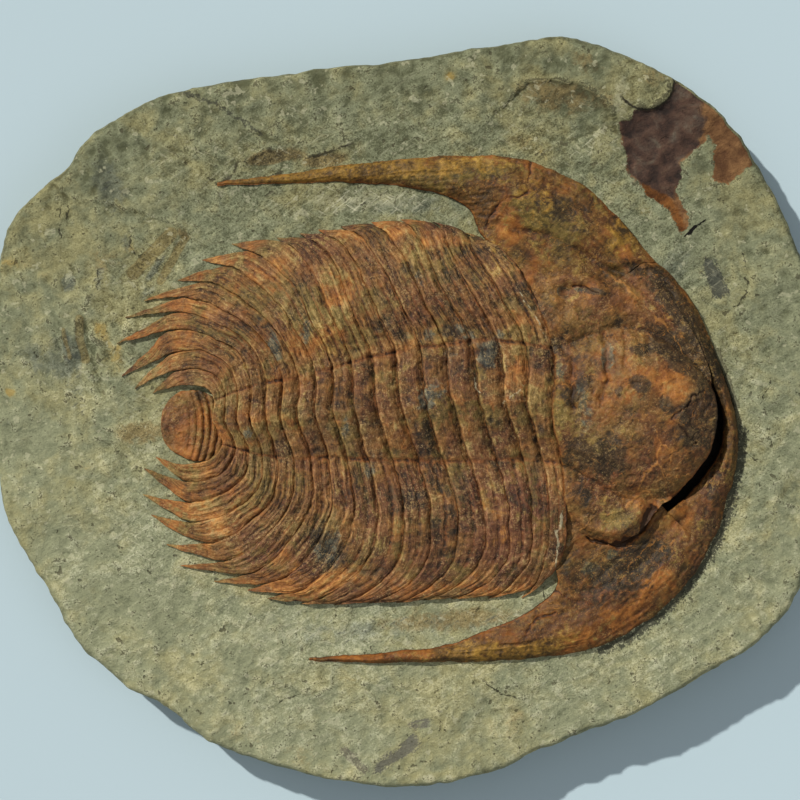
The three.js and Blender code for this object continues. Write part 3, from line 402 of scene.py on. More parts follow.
def plate(name, grid, attributes, node, broad=False, uv=None, floor=BED):
    """Closed mesh under a grid of shape (rows, columns, 3) in millimetres."""
    rows, columns = grid.shape[:2]
    index = np.arange(rows * columns).reshape(rows, columns)
    quads = np.stack([index[:-1, :-1], index[1:, :-1], index[1:, 1:], index[:-1, 1:]], -1)
    loop = np.concatenate([index[:, 0], index[-1, 1:], index[-2::-1, -1], index[0, -2:0:-1]])
    top = grid.reshape(-1, 3)
    foot = top[loop].copy()
    foot[:, 2] = floor
    foot_index = len(top) + np.arange(len(loop))
    after = np.roll(np.arange(len(loop)), -1)
    walls = np.stack([loop, foot_index, foot_index[after], loop[after]], -1)
    points = np.vstack([top, foot])
    faces = [*quads.reshape(-1, 4).tolist(), *walls.tolist()]
    if broad:
        hub = grid[rows // 2, columns // 2].copy()
        hub[2] = floor
        points = np.vstack([points, hub])
        fan = np.stack([np.full(len(loop), len(points) - 1), foot_index[after], foot_index], -1)
        faces += fan.tolist()
    else:
        side_a = foot_index[:rows]
        side_b = foot_index[rows + columns - 2: 2 * rows + columns - 2][::-1]
        strip = np.stack([side_a[1:-2], side_b[1:-2], side_b[2:-1], side_a[2:-1]], -1)
        faces += strip.tolist()
        far = foot_index[rows - 1: rows + columns - 1]
        near = np.append(foot_index[2 * rows + columns - 3:], foot_index[0])
        faces.append([int(side_a[-2]), int(side_b[-2]), *far[::-1].tolist()])
        faces.append([int(side_b[1]), int(side_a[1]), *near[::-1].tolist()])
    a, b, c = (points[[face[n] for face in faces]] for n in (0, 1, 2))
    if np.einsum("ij,ij->", a - points.mean(0), np.cross(b - a, c - a)) < 0:
        faces = [face[::-1] for face in faces]
    full = {}
    for label, values in attributes.items():
        full[label] = np.zeros(len(points))
        full[label][:len(top)] = values.ravel()
        full[label][len(top):len(top) + len(loop)] = values.ravel()[loop]
    piece = finish_piece(name, points, faces, full, node)
    if uv is not None:
        flat = np.zeros((len(points), 2), np.float32)
        flat[:len(top)] = uv.reshape(-1, 2)
        flat[len(top):len(top) + len(loop)] = uv.reshape(-1, 2)[loop]
        corners = np.empty(len(piece.data.loops), np.int32)
        piece.data.loops.foreach_get("vertex_index", corners)
        layer = piece.data.uv_layers.new(name="along")
        layer.data.foreach_set("uv", flat[corners].ravel())
    return piece


def disc(name, skin, attributes, node, base):
    """Closed mesh from rings of points, the outermost first, standing on the given base."""
    rings, count = skin.shape[:2]
    foot = skin[0].copy()
    foot[:, 2] = base
    crown = skin[-1].mean(0)
    points = np.vstack([foot, skin.reshape(-1, 3), crown, [*crown[:2], base]])
    index = np.arange((rings + 1) * count).reshape(rings + 1, count)
    after = np.roll(index, -1, axis=1)
    quads = np.stack([index[:-1], after[:-1], after[1:], index[1:]], -1).reshape(-1, 4)
    top, bottom = len(points) - 2, len(points) - 1
    faces = quads.tolist()
    faces += np.stack([index[-1], after[-1], np.full(count, top)], -1).tolist()
    faces += np.stack([after[0], index[0], np.full(count, bottom)], -1).tolist()
    full = {}
    for label, values in attributes.items():
        full[label] = np.concatenate([values[0], values.ravel(), [values[-1].mean(), 0]])
    return finish_piece(name, points, faces, full, node)


def blurred(values, reach):
    """Mean over a square window of 2 reach + 1 points, by running sums along each axis."""
    out = values
    for axis in (0, 1):
        pad = [(0, 0), (0, 0)]
        pad[axis] = (reach + 1, reach)
        sums = np.cumsum(np.pad(out, pad, mode="edge"), axis=axis)
        size = out.shape[axis]
        high = np.take(sums, np.arange(2 * reach + 1, 2 * reach + 1 + size), axis=axis)
        low = np.take(sums, np.arange(size), axis=axis)
        out = (high - low) / (2 * reach + 1)
    return out


# %% [markdown]
# ## The body segments
# A segment is an arched ring on the axis with a flat rib to each side that bends back into a
# spine. Its front edge and rear edge are two of the edge curves above, and its surface is the
# straight blend between them, lifted by a profile along the segment and a section across it.
# The front margin tucks under the segment ahead, as in the living animal. Behind it the
# section has a furrow in the middle of the rib, rises to the rear edge and drops there, which
# gives the shingled look.


# %% Edges of a segment
def rail(name, seam):
    """Where a rail crosses a seam."""
    return through(RAILS[name], seam)


def arc(start, tip, share, turn):
    """Point and direction at a share of a shallow arc from start to tip that bows forward."""
    chord = tip - start
    forward = np.array([-chord[1], chord[0]]) * turn
    point = start + chord * share + forward * 4 * SPINE_BOW * share * (1 - share)
    return point, unit(chord + forward * 4 * SPINE_BOW * (1 - 2 * share))


def parting(seam, side):
    """Where two neighbouring spines part, and the direction of the seam there."""
    tip = np.array(side["tips"][max(seam, 1) - 1], float)
    return arc(rail(side["bend"], seam), tip, ramp(side["parting"], seam), side["turn"])


def spine_end(segment, at_rear, side):
    """Tip and waist of a free spine on its front or rear edge."""
    front, rear = parting(segment - 1, side)[0], parting(segment, side)[0]
    start = (rail(side["bend"], segment - 1) + rail(side["bend"], segment)) / 2
    tip = np.array(side["tips"][segment - 1], float)
    share = (1 + ramp(side["parting"], segment - 0.5)) / 2
    waist, way = arc(start, tip, share, side["turn"])
    forward = np.array([-way[1], way[0]]) * side["turn"]
    edge = -1 if at_rear else 1
    half = 0.5 * SPINE_WAIST * abs((rear - front) @ forward)
    return tip + forward * edge * TIP_WIDTH / 2, waist + forward * edge * half


def segment_edge(segment, at_rear, u):
    """One long edge of a segment at places u, where the rails lie at u = 3 to 9."""
    seam = segment if at_rear else segment - 1
    (left_point, left_way), (right_point, right_way) = parting(seam, LEFT), parting(seam, RIGHT)
    middle = (rail("left_furrow", seam) + rail("right_furrow", seam)) / 2
    middle[0] -= RING_SWING
    left_tip, left_waist = spine_end(segment, at_rear, LEFT)
    right_tip, right_waist = spine_end(segment, at_rear, RIGHT)
    points = [left_tip, left_waist, left_point, rail("left_bend", seam), rail("left_flank", seam),
              rail("left_furrow", seam), middle, rail("right_furrow", seam),
              rail("right_flank", seam), rail("right_bend", seam), right_point, right_waist,
              right_tip]
    return edge_curve(points, {2: -left_way, 10: right_way}, u)


def even_places(curve, low, high, step):
    """Values of u from low to high that lie about one step apart along a curve."""
    u = np.linspace(low, high, 1500)
    steps = np.linalg.norm(np.diff(curve(u), axis=0), axis=1)
    run = np.concatenate([[0], np.cumsum(steps)])
    count = max(int(run[-1] / step), 8)
    return np.interp(np.linspace(0, run[-1], count), run, u)


# %% Surface of a segment
RIB_SECTION = [(0, -2.0), (0.07, -1.1), (0.2, -0.2), (0.38, 0.3), (0.47, -0.35),
               (0.56, 0.25), (0.84, 0.8), (0.95, 0.6), (1, -0.7)]
RING_SECTION = [(0, -2.9), (0.1, -2.2), (0.2, -1.3), (0.34, -0.1), (0.58, 0.75), (0.84, 1.05),
                (0.95, 0.75), (1, -0.8)]
TUCK = 1.1
FIRST_TUCK = 1.9
FULL_WIDTH = 10
ACROSS = 28
STEP = 0.52


def segment_surface(segment):
    """Grid of a segment: lerp(front(u), rear(u), v) lifted by profile(u) + section(v), with
    striations that run along it and the crumpling of the whole shell."""
    def middle(u):
        return (segment_edge(segment, False, u) + segment_edge(segment, True, u)) / 2
    u = even_places(middle, 0, 12, STEP)
    v = np.linspace(0, 1, ACROSS)
    v = 0.55 * v + 0.45 * (0.5 - 0.5 * np.cos(np.pi * v))
    reach = 6 - np.abs(u - 6)
    joined = smooth(1.9, 2.5, reach)
    front, rear = segment_edge(segment, False, u), segment_edge(segment, True, u)
    width = np.linalg.norm(rear - front, axis=1)
    back = (rear - front) / width[:, None]
    tuck = (FIRST_TUCK if segment == 1 else TUCK) * joined
    front = front + back * (SEAM / 2 - tuck)[:, None]
    rear = rear - back * (SEAM / 2)
    xy = front[:, None] * (1 - v)[None, :, None] + rear[:, None] * v[None, :, None]
    x, y = settle(xy[..., 0], xy[..., 1])
    heights = [(0, TIP_HEIGHT)] + [(n + 1, ramp(table, segment)) for n, table in enumerate(
        (WAIST, PARTING, BEND, FLANK, FURROW, CREST))]
    profile = through(heights, reach)[:, 0][:, None]
    bite = np.clip(width / FULL_WIDTH, 0.12, 1) * smooth(0.2, 2.4, reach)
    bite = (bite * (0.5 + 0.5 * smooth(2.2, 4.2, reach)))[:, None]
    ring = smooth(4.86, 5.12, reach)[:, None]
    rib = through(RIB_SECTION, v)[:, 0][None, :]
    hoop = through(RING_SECTION, v)[:, 0][None, :]
    section = (rib * (1 - ring) + hoop * ring) * bite
    beside = np.exp(-(((reach - 5) / 0.05) ** 2))[:, None]
    run = np.cumsum(np.append(0, np.hypot(*np.diff(xy[:, ACROSS // 2], axis=0).T)))
    along = run[:, None] + 0 * x
    side = v[None, :] * width[:, None]
    seed = 100 + 7 * segment
    lane = side + 40 * segment + 0.9 * noise(along, side, 9, seed + 3, 2)
    stria = creased(along / 20, lane / 2.3, 1.0, seed, 3)
    thread = creased(along / 9, lane / 1.1, 1.0, seed + 1, 2)
    firm = smooth(0.1, 2.6, reach)[:, None] * (0.45 + 0.55 * bite)
    worn, marks = crumple(x, y, firm)
    broken = 0.5 + 0.9 * noise(along, side + 40 * segment, 11, seed + 5, 3)
    height = profile + section - 1.0 * beside * broken + worn
    calm = (1 - 0.7 * ring) * (1 - 0.6 * smooth(-8, -45, y) * smooth(-60, 30, x))
    height = height + firm * (0.32 * stria + 0.15 * thread) * calm
    height = np.maximum(height, EDGE_LIP)
    foot = np.exp(-side / 0.85) * joined[:, None]
    pleat = np.exp(-(((v[None, :] - 0.47) / 0.05) ** 2)) * (1 - ring)
    pleat = pleat * smooth(2, 3.4, reach)[:, None]
    near_axis = 0.65 + 0.35 * smooth(2.6, 4.4, reach)[:, None]
    groove = (1.1 * foot * near_axis + 0.35 * pleat + 0.5 * beside)
    groove = groove * np.clip(0.25 + broken * 1.3, 0.2, 1.2)
    marks["patch"] = 0.8 * noise(along, 40.0 * segment + 0.2 * side, 14, seed + 8, 3)
    marks["patch"] += 0.4 * noise(along, 40.0 * segment + 0.3 * side, 5, seed + 9, 2)
    marks.update(groove=groove + 0.7 * marks["crack"], relief=height - blurred(height, 3),
                 calm=1 - calm, **stains(x, y))
    layout = np.dstack([along, side + 40 * segment]) * MM
    return np.dstack([x, y, BED + height]), marks, layout


body_pieces = []
for number in range(1, SEGMENTS + 1):
    surface, marks, layout = segment_surface(number)
    label = f"thoracic_segment_{number:02d}"
    body_pieces.append(plate("shell_" + label, surface, marks, label, uv=layout))

# %% [markdown]
# ## The head shield
# The middle plate carries the glabella, a tall dome that stands over the snout, and a low
# cheek to each side with the eye lobes. Its outline has four curved sides, so its grid is a
# Coons patch: blend the two side curves, add the blend of the front and rear curves, and take
# away the blend of the four corners, which was counted twice. The height is a function of x
# and y alone, so furrows and lobes are simply added to it.

# %% Outlines of the head shield
LEFT_OUTER = [(0, -84.5, 103), (1, -50, 108), (2, -16, 112.5), (3, 8, 114.7), (4, 26, 115.3),
              (5, 44, 115), (6, 60, 111.5), (7, 76, 104), (8, 89.5, 93.5), (9, 101.5, 80.5),
              (10, 112, 67.5)]
LEFT_INNER = [(0, -84.5, 101.5), (1, -48, 103), (2, -16, 103), (3, 4, 100.7), (4, 18, 97.3),
              (5, 28.5, 90.5), (6, 33.5, 80), (6.6, 39.7, 75.6), (7, 52, 67.5), (7.5, 63, 60.8),
              (8, 72, 62.6), (8.6, 83, 61), (9, 90, 57.8), (9.5, 98.5, 62.6), (10, 106, 67.3)]
RIGHT_OUTER = [(0, -43, -111.3), (1, -12, -112.7), (2, 20, -112.7), (3, 42, -111.7),
               (4, 62.5, -110), (5, 81, -107), (6, 96, -101.5), (7, 109, -93), (8, 120, -83.5),
               (9, 129.5, -72.5), (10, 135.6, -61.8)]
RIGHT_INNER = [(0, -43, -110), (1, -12, -108.3), (2, 13, -106.3), (3, 33, -100), (4, 51, -92),
               (5, 62.5, -84.5), (5.5, 68.6, -77), (5.8, 68.8, -67.8), (6.2, 74, -60.4),
               (6.7, 80, -55.4), (7.4, 89.5, -60), (8, 98.5, -58.4), (8.6, 104.6, -52.7),
               (9.1, 107.9, -43.8), (9.6, 113.5, -41.6), (10, 119, -46)]
BORDER_OUTER = [(0, 111.2, 68), (1, 120.6, 59.7), (2, 128.3, 50), (3, 137.6, 30.2),
                (4, 144.6, 12), (5, 148.6, -3.5), (6, 149.5, -16), (7, 147.2, -29),
                (8, 143.1, -42), (9, 139.8, -52.5), (10, 135.2, -62.2)]
BORDER_INNER = [(0, 105.4, 67.8), (1, 111.6, 60.5), (2, 116.6, 53.5), (3, 128.3, 32.5),
                (4, 136.8, 16), (5, 141.9, 2), (6, 142.5, -9.5), (7, 140.2, -19.5),
                (8, 134, -28.5), (9, 126.5, -37), (10, 118.6, -46)]
SNOUT_GAP = [(0, -1.2), (3.6, -1.0), (4.3, 0.8), (5.2, 3.0), (6.4, 4.2), (7.6, 4.0),
             (8.6, 3.2), (9.2, 1.6), (9.7, -0.4), (10, -1.0)]
LEFT_SUTURE = dict(low=6.6, high=10, shift=(0, -0.6))
RIGHT_SUTURE = dict(low=5.8, high=9.6, shift=(-0.45, 0.55))

# %% Height of the middle plate
GLABELLA = [(58, 3, 26, 15.2, 8.8), (70, 3, 27, 15.8, 8.6), (82, 2, 32, 17.4, 8.4),
            (96, 0, 38, 18.8, 8), (108, -1.5, 37.5, 19.6, 7.4), (120, -3.5, 33.5, 19.2, 7),
            (130, -5, 26, 18, 7), (137, -6, 18, 14.8, 7.2), (142, -6.5, 13, 11.5, 7.2)]
CHEEK_RISE = 3.4
CHEEK_REACH = 24
HEAD_FURROWS = [  # [points of the furrow], half width, depth
    ([(66, 24), (65, 14), (64.5, 2), (66, -12), (67, -22)], 1.8, 1.6),
    ([(75, 24), (73.5, 14), (74.5, 3)], 1.7, 2.0),
    ([(74.5, 3), (76, -8), (74, -18)], 2.2, 0.9),
    ([(88.5, 34), (90, 25), (89.5, 14), (87, 7)], 1.6, 1.7),
    ([(97.5, 36), (98.5, 29), (97, 20)], 1.5, 1.4),
    ([(89, -36), (91, -26), (88, -16)], 2.0, 0.8),
    ([(108, 33), (107, 26)], 1.5, 0.8),
]
LEFT_EYE = [(67, 50.4), (64.8, 57), (71.5, 60), (82.8, 58.2), (87.3, 54)]
RIGHT_EYE = [(80, -51), (89, -54.5), (97, -53), (102, -48), (104.5, -42)]
EYE_PIT = (70.8, 53)
CHIPPED = [(124.5, 3), (132.5, 9), (136.5, 7.5), (139, -8), (132, -12.5), (125, -6)]


def head_height(x, y):
    """Height of the middle plate above the bed, and how deep each point lies in a groove."""
    middle, half, crest, floor = np.moveaxis(through(GLABELLA, x), -1, 0)
    side = np.abs(y - middle) / half
    dome = (crest - floor) * np.clip(1 - side**2.6, 0, None)
    out = np.clip((side - 1) * half, 0, None)
    cheek = CHEEK_RISE * np.sin(np.pi * np.minimum(out / CHEEK_REACH, 1)) - 0.09 * out
    height = floor + np.where(side < 1, dome, cheek)
    rag = 0.4 + 0.9 * (0.5 + 0.5 * noise(x, y, 5.0, 33, 3))
    groove = 0.22 * np.exp(-((((side - 1) * half) / 1.8) ** 2)) * rag
    wavy_x, wavy_y = x + 1.2 * noise(x, y, 5.0, 35), y + 1.2 * noise(x, y, 5.0, 36)
    for line, spread, depth in HEAD_FURROWS:
        cut = np.exp(-((near_line(wavy_x, wavy_y, line) / spread) ** 2)) * rag
        height = height - depth * cut
        groove = groove + cut * depth / 5.0
    for line, rise in ((LEFT_EYE, 2.2), (RIGHT_EYE, 2.4)):
        height = height + rise * np.exp(-((near_line(x, y, line) / 3.2) ** 2))
    pit = np.exp(-((np.hypot(x - EYE_PIT[0], (y - EYE_PIT[1]) * 1.3) / 3.0) ** 2))
    chip = smooth(-0.6, 0.8, inside_by(x, y, CHIPPED) + 2.2 * noise(x, y, 3.0, 31))
    return height - 2.0 * pit - 0.9 * chip, groove + 0.5 * pit + 0.3 * chip


def head_lines(x, y):
    """Depth of the furrows that run on from one plate of the head shield to the next."""
    cut = np.zeros(np.shape(x))
    for line, spread, depth in FURROW_LINES:
        rag = 0.75 + 0.5 * noise(x, y, 6.0, 37)
        cut = cut + rag * depth * np.exp(-((near_line(x, y, line) / spread) ** 2))
    return cut


# %% Grid of the middle plate
HEAD_ROWS = 210
HEAD_COLUMNS = 300


def snout_edge(t):
    """Inner edge of the front border, moved back by the width of the open crack."""
    station = 10 * t
    way = through(BORDER_INNER, station + 0.05) - through(BORDER_INNER, station - 0.05)
    normal = unit(np.stack([way[:, 1], -way[:, 0]], -1))
    return through(BORDER_INNER, station) + normal * ramp(SNOUT_GAP, station)[:, None]


def head_grid():
    """Coons patch: side curves + end curves - corners."""
    s, t = np.linspace(0, 1, HEAD_ROWS), np.linspace(0, 1, HEAD_COLUMNS)
    rear = segment_edge(1, False, 3 + 6 * t) + [BEHIND_HEAD, 0]
    sides = []
    for line, cut in ((LEFT_INNER, LEFT_SUTURE), (RIGHT_INNER, RIGHT_SUTURE)):
        sides.append(through(line, cut["low"] + (cut["high"] - cut["low"]) * s) + cut["shift"])
    for corner, line in zip((rear[0], rear[-1]), sides):
        line += (corner - line[0]) * (1 - s[:, None]) ** 12
    front = snout_edge(t)
    front = front + (sides[0][-1] - front[0]) * (1 - t[:, None]) ** 12
    front = front + (sides[1][-1] - front[-1]) * t[:, None] ** 12
    s, t = s[:, None, None], t[None, :, None]
    across = sides[0][:, None] * (1 - t) + sides[1][:, None] * t
    along = rear[None] * (1 - s) + front[None] * s
    corners = (rear[0] * (1 - s) * (1 - t) + rear[-1] * (1 - s) * t
               + front[0] * s * (1 - t) + front[-1] * s * t)
    return across + along - corners


def head_plate():
    """The middle plate, rolled down at its rear, right and front edges."""
    xy = head_grid()
    gaps = [xy - xy[:1], xy - xy[-1:], xy - xy[:, :1], xy - xy[:, -1:]]
    rear, front, left, right = (np.linalg.norm(gap, axis=-1) for gap in gaps)
    x, y = settle(xy[..., 0], xy[..., 1])
    height, groove = head_height(x, y)
    worn, marks = crumple(x, y, 1.0)
    height = height + worn - head_lines(x, y)
    height = np.where(height > 18.5, 18.5 + 1.8 * np.tanh((height - 18.5) / 1.8), height)
    free = smooth(-0.4, 1.2, ramp(SNOUT_GAP, np.linspace(0, 10, HEAD_COLUMNS)))[None, :]
    height = height - 0.9 * np.exp(-rear / 0.7) - 2.2 * np.exp(-front / 1.2) * free
    height = height - 0.2 * np.exp(-left / 0.8) - 0.8 * np.exp(-right / 0.6)
    groove = groove + 0.4 * np.exp(-rear / 0.5) + 0.4 * np.exp(-right / 0.4)
    groove = groove + 0.8 * marks["crack"] + 0.2 * head_lines(x, y) + free * np.exp(-front / 0.8)
    marks.update(groove=groove, relief=height - blurred(height, 3), **stains(x, y))
    grid = np.dstack([x, y, BED + np.maximum(height, EDGE_LIP)])
    return plate("shell_cranidium", grid, marks, "cranidium", broad=True)


head = head_plate()

# %% [markdown]
# ## Cheeks and front border
# These are bands: each is carried from its outer margin to its inner edge, with a section of
# four heights (rim, border, furrow, suture) that changes along it. The genal spines are the
# same bands where they get narrow. Where the cheek meets the middle plate it takes over that
# plate's height, so the suture between them is only a faint line.

# %% Bands of the head shield
LEFT_CHEEK = [(0, 0.9, 1.4, 1.3, 0.9), (1, 1.2, 2.4, 2.3, 1.2), (2, 1.7, 4, 3.8, 1.6),
              (4, 2.2, 5.8, 5.4, 2), (5, 2.4, 6.6, 5.6, 2.2), (6, 2.6, 7.2, 5.4, 3.4),
              (7, 2.8, 7.4, 5, 8), (8, 2.8, 7.2, 4.8, 8.6), (9, 2.6, 6.8, 4.8, 7.6),
              (10, 2.4, 5.6, 4.4, 4.6)]
RIGHT_CHEEK = [(0, 1, 1.6, 1.5, 1), (1, 1.4, 3, 2.9, 1.4), (2, 1.8, 4, 3.9, 1.7),
               (4, 2.2, 5.6, 5.2, 2.2), (5, 2.4, 6.6, 5.4, 3), (6, 2.6, 7, 4.6, 5.4),
               (7, 2.8, 7, 4.4, 5.6), (8, 2.8, 6.8, 4.4, 5.4), (9, 2.6, 6.4, 4.6, 5),
               (10, 2.4, 5.4, 4.6, 4)]
BORDER = [(0, 2.4, 5.6, 5, 4.4), (3, 2.6, 6.2, 5.6, 4), (6, 2.8, 7, 6, 3.2),
          (8, 2.6, 6.6, 5.4, 3.2), (10, 2.4, 5.4, 4.8, 3.8)]


def band(name, outer, inner, heights, shares, rows, columns, node, joined, follows):
    """Grid lerp(outer(s), inner(s), share), lifted by a cubic section of four heights. Where
    joined is 1 the inner edge runs on under the middle plate, and where follows is 1 the
    inner part takes over that plate's height."""
    s = even_places(lambda p: through(outer, p), 0, 10, 265 / rows)
    a, b = through(outer, s), through(inner, s)
    tucked, meets = ramp(joined, s), ramp(follows, s)
    b = b + unit(b - a) * (1.1 * tucked)[:, None]
    share = np.linspace(0, 1, columns)
    share = 0.6 * share + 0.4 * (0.5 - 0.5 * np.cos(np.pi * share))
    xy = a[:, None] * (1 - share)[None, :, None] + b[:, None] * share[None, :, None]
    section = through(heights, s)
    height = through([(m, *column) for m, column in zip(shares, section.T)], share).T
    width = np.linalg.norm(b - a, axis=1)[:, None]
    rim, suture = share[None, :] * width, (1 - share)[None, :] * width
    edge = np.minimum(rim, suture + 9 * tucked[:, None])
    x, y = settle(xy[..., 0], xy[..., 1])
    reach = np.minimum(9, 0.75 * width)
    blend = meets[:, None] * smooth(1, 0.15, suture / reach)
    height = height * (1 - blend) + (head_height(x, y)[0] - 0.25) * blend
    broad = smooth(1.5, 10, width)
    arcs = creased(rim / 2.6, s[:, None] * 1.6, 1.0, 61, 2)
    worn, marks = crumple(x, y, 0.2 + 0.55 * broad)
    height = height + worn - head_lines(x, y) + 0.2 * arcs * smooth(1, 6, width)
    height = height - (0.8 + 0.5 * noise(x, y, 5.0, 63)) * np.exp(-edge / 0.8)
    height = np.maximum(height, EDGE_LIP)
    groove = 0.35 * np.exp(-edge / 0.4) + 0.8 * marks["crack"] + 0.2 * head_lines(x, y)
    groove = groove + 0.5 * np.exp(-suture / 0.8) * (1 - tucked[:, None])
    marks.update(groove=groove, relief=height - blurred(height, 3), **stains(x, y))
    return plate(name, np.dstack([x, y, BED + height]), marks, node)


cheeks = [
    band("shell_left_cheek", LEFT_OUTER, LEFT_INNER, LEFT_CHEEK, (0, 0.4, 0.76, 1), 500, 84,
         "left_free_cheek", [(6.2, 0), (7, 1)], [(6.2, 0), (7, 1)]),
    band("shell_right_cheek", RIGHT_OUTER, RIGHT_INNER, RIGHT_CHEEK, (0, 0.32, 0.62, 1), 460, 88,
         "right_free_cheek", [(5.4, 0), (5.9, 1)], [(5.4, 0), (5.9, 1), (6.6, 1), (7.2, 0)]),
    band("shell_front_border", BORDER_OUTER, BORDER_INNER, BORDER, (0, 0.45, 0.8, 1), 520, 34,
         "front_border", [(3.6, 1), (4.3, 0), (9.2, 0), (9.7, 1)],
         [(3.6, 1), (4.3, 0), (9.2, 0), (9.7, 1)]),
]

# %% [markdown]
# ## The tail plate
# The tail is one small plate, nearly flat, with faint arcs that carry on the curve of the
# last ribs. It is a disc of rays and rings, the outermost ring first.

# %% Tail plate
TAIL = [(-85.6, 5.4), (-90, 8.6), (-95, 10.2), (-101, 9.6), (-106, 6), (-109.8, 0),
        (-109.8, -8), (-107, -14.5), (-102, -19), (-94.5, -21.8), (-87, -20.6), (-82.2, -15),
        (-84, -8), (-85.8, -1)]
TAIL_CENTRE = (-97, -6)


def closed_outline(points, t):
    """Cubic through a closed list of points, t from 0 to 1 round it."""
    count = len(points)
    wrapped = [points[n % count] for n in range(-3, count + 4)]
    rows = [(n - 3, *spot) for n, spot in enumerate(wrapped)]
    return through(rows, np.asarray(t) * count)


TAIL_FOLD = 3.1


def tail_plate():
    """Rings shrunk from the outline to the centre, with a height that rises to the front."""
    rays, rings = 240, 60
    rim = closed_outline(TAIL, np.arange(rays) / rays)
    shrink = (1 - np.arange(rings) / rings)[:, None]
    xy = TAIL_CENTRE + (rim - TAIL_CENTRE)[None] * shrink[..., None]
    depth = (1 - shrink) * np.linalg.norm(rim - TAIL_CENTRE, axis=1)[None]
    x, y = settle(xy[..., 0], xy[..., 1])
    from_centre = np.hypot(x - TAIL_CENTRE[0], y - TAIL_CENTRE[1])
    rise = 1.35 + 0.7 * smooth(-108, -90, x) + 0.6 * smooth(0, 7, depth)
    arcs = creased(from_centre / 2.3, np.arctan2(y - TAIL_CENTRE[1], x - TAIL_CENTRE[0]) * 2.5,
                   1.0, 73, 2)
    worn, marks = crumple(x, y, 0.7)
    fold = np.sin(2 * np.pi * (x + 0.012 * (y - TAIL_CENTRE[1]) ** 2) / TAIL_FOLD)
    fold = fold * smooth(-103, -89, x)
    height = rise + 0.16 * arcs * smooth(2, 6, from_centre) + worn - 0.4 * np.exp(-depth / 0.7)
    height = height + 0.32 * fold - 0.5 * smooth(0, 1, -fold)
    height = np.maximum(height, EDGE_LIP)
    groove = 0.3 * np.exp(-depth / 0.5) + 0.2 * smooth(0, 1, -arcs) + 0.6 * smooth(0.5, 1, -fold)
    marks.update(groove=groove, relief=height - blurred(height, 2), **stains(x, y))
    return disc("shell_pygidium", np.dstack([x, y, BED + height]), marks, "pygidium",
                BED)


tail = tail_plate()

# %% [markdown]
# ## The block
# The block's outline comes from the photograph and its underside is sawn flat. Its top is the
# bedding plane with everything that the preparation left on it: tool marks, lumps, a round
# flake, a shallow scar with a rust stain, cracks. One function gives the height of the top,
# and signed distances from given outlines carry the marks, so that the paint can follow
# the same outlines exactly.

# %% Outline and marks of the block
BLOCK_LENGTH, BLOCK_WIDTH = 374.0, 342.0
EDGE_DROP = 4.0
BLOCK = [
    (187, 6), (186, 42), (179, 73), (168, 98), (150, 129), (134, 144), (107, 160), (84, 169),
    (66, 171), (40, 167), (-7, 160), (-64, 153), (-108, 145), (-128, 136), (-145, 124),
    (-156, 110), (-174, 94), (-183, 78), (-186, 55), (-187, 19), (-186, -17), (-182, -47),
    (-171, -68), (-160, -87), (-149, -105), (-128, -124), (-107, -136), (-94, -148),
    (-70, -158), (-32, -168), (-2, -171), (20, -169), (42, -163), (64, -153), (106, -137),
    (133, -122), (160, -105), (177, -86), (184, -62), (187, -30),
]
STAIN = [(120.3, 150.6), (134.7, 141.6), (144.3, 130.8), (153.9, 120), (157.5, 112.2),
         (144.3, 103.2), (138.3, 104.4), (138.5, 120), (135.9, 123.6), (131.1, 117.6),
         (123.3, 111.6), (123.9, 105.6), (120.9, 99.6), (127, 91), (127, 84), (123.9, 79.8),
         (119, 91.2), (108.3, 97.2), (98.9, 109.2), (98.7, 118.8), (94.5, 131.4), (101, 131.8),
         (102.3, 135.6), (108, 137), (116, 140)]
FLAKE_MIDDLE, FLAKE_RADIUS = (107.9, 149.0), 12.7
SNOUT_CREVICE = [(133, 24), (137, 16), (141.9, 2), (142.5, -9.5), (140.2, -19.5), (134, -28.5),
                 (126.5, -37), (119.5, -45.3)]
# The head's lower right rim; a painted shadow lies on the stone beside it.
HEAD_RIM = [(150.5, -8), (150, -22), (145, -44), (138, -62), (128, -77), (116, -90), (101, -101),
            (88, -107)]
FOSSIL = [(-84, 102), (-50, 108), (8, 114.5), (44, 115), (76, 104), (112, 67), (137, 31),
          (149, -6), (147, -29), (136, -61), (109, -93), (81, -107), (42, -112), (-43, -111),
          (13, -107), (51, -93), (52, -84), (8, -85), (-47, -86), (-86, -76), (-108, -60),
          (-118, -36), (-113, 8), (-129, 31), (-118, 50), (-92, 68), (-58, 78), (-2, 86),
          (26, 80), (30, 88), (18, 97), (-16, 103)]
BROWN = [
    (72, 141, 26, 9, -8, 0.8), (112, 151, 8, 6, 0, 0.5), 
    # The next two rows darken the hollows beside the crevices above the left genal spine: painted shade.
    (-62, 114, 11, 3.4, 6, 1.3), (-36, 113, 12, 3, 12, 0.8),
    (-119.7, -9.5, 14, 6, 0, 0.8), (-100, 80, 5, 2.5, -40, 0.8), (-134, 69, 12, 8, 0, 0.5),
    (-52, 118, 20, 5, -12, 0.5), (35, 120, 40, 7, 5, 0.4), (160, -60, 14, 30, 20, 0.3),
    (-60, -150, 40, 9, -18, 0.5), (60, -135, 40, 9, 20, 0.4), (-170, 60, 10, 18, 0, 0.3),
    (20, -94, 44, 6, 3, 0.8),
    (82, 157, 12, 6, -20, 0.7), (30, 150, 14, 4, 8, 0.4),
]
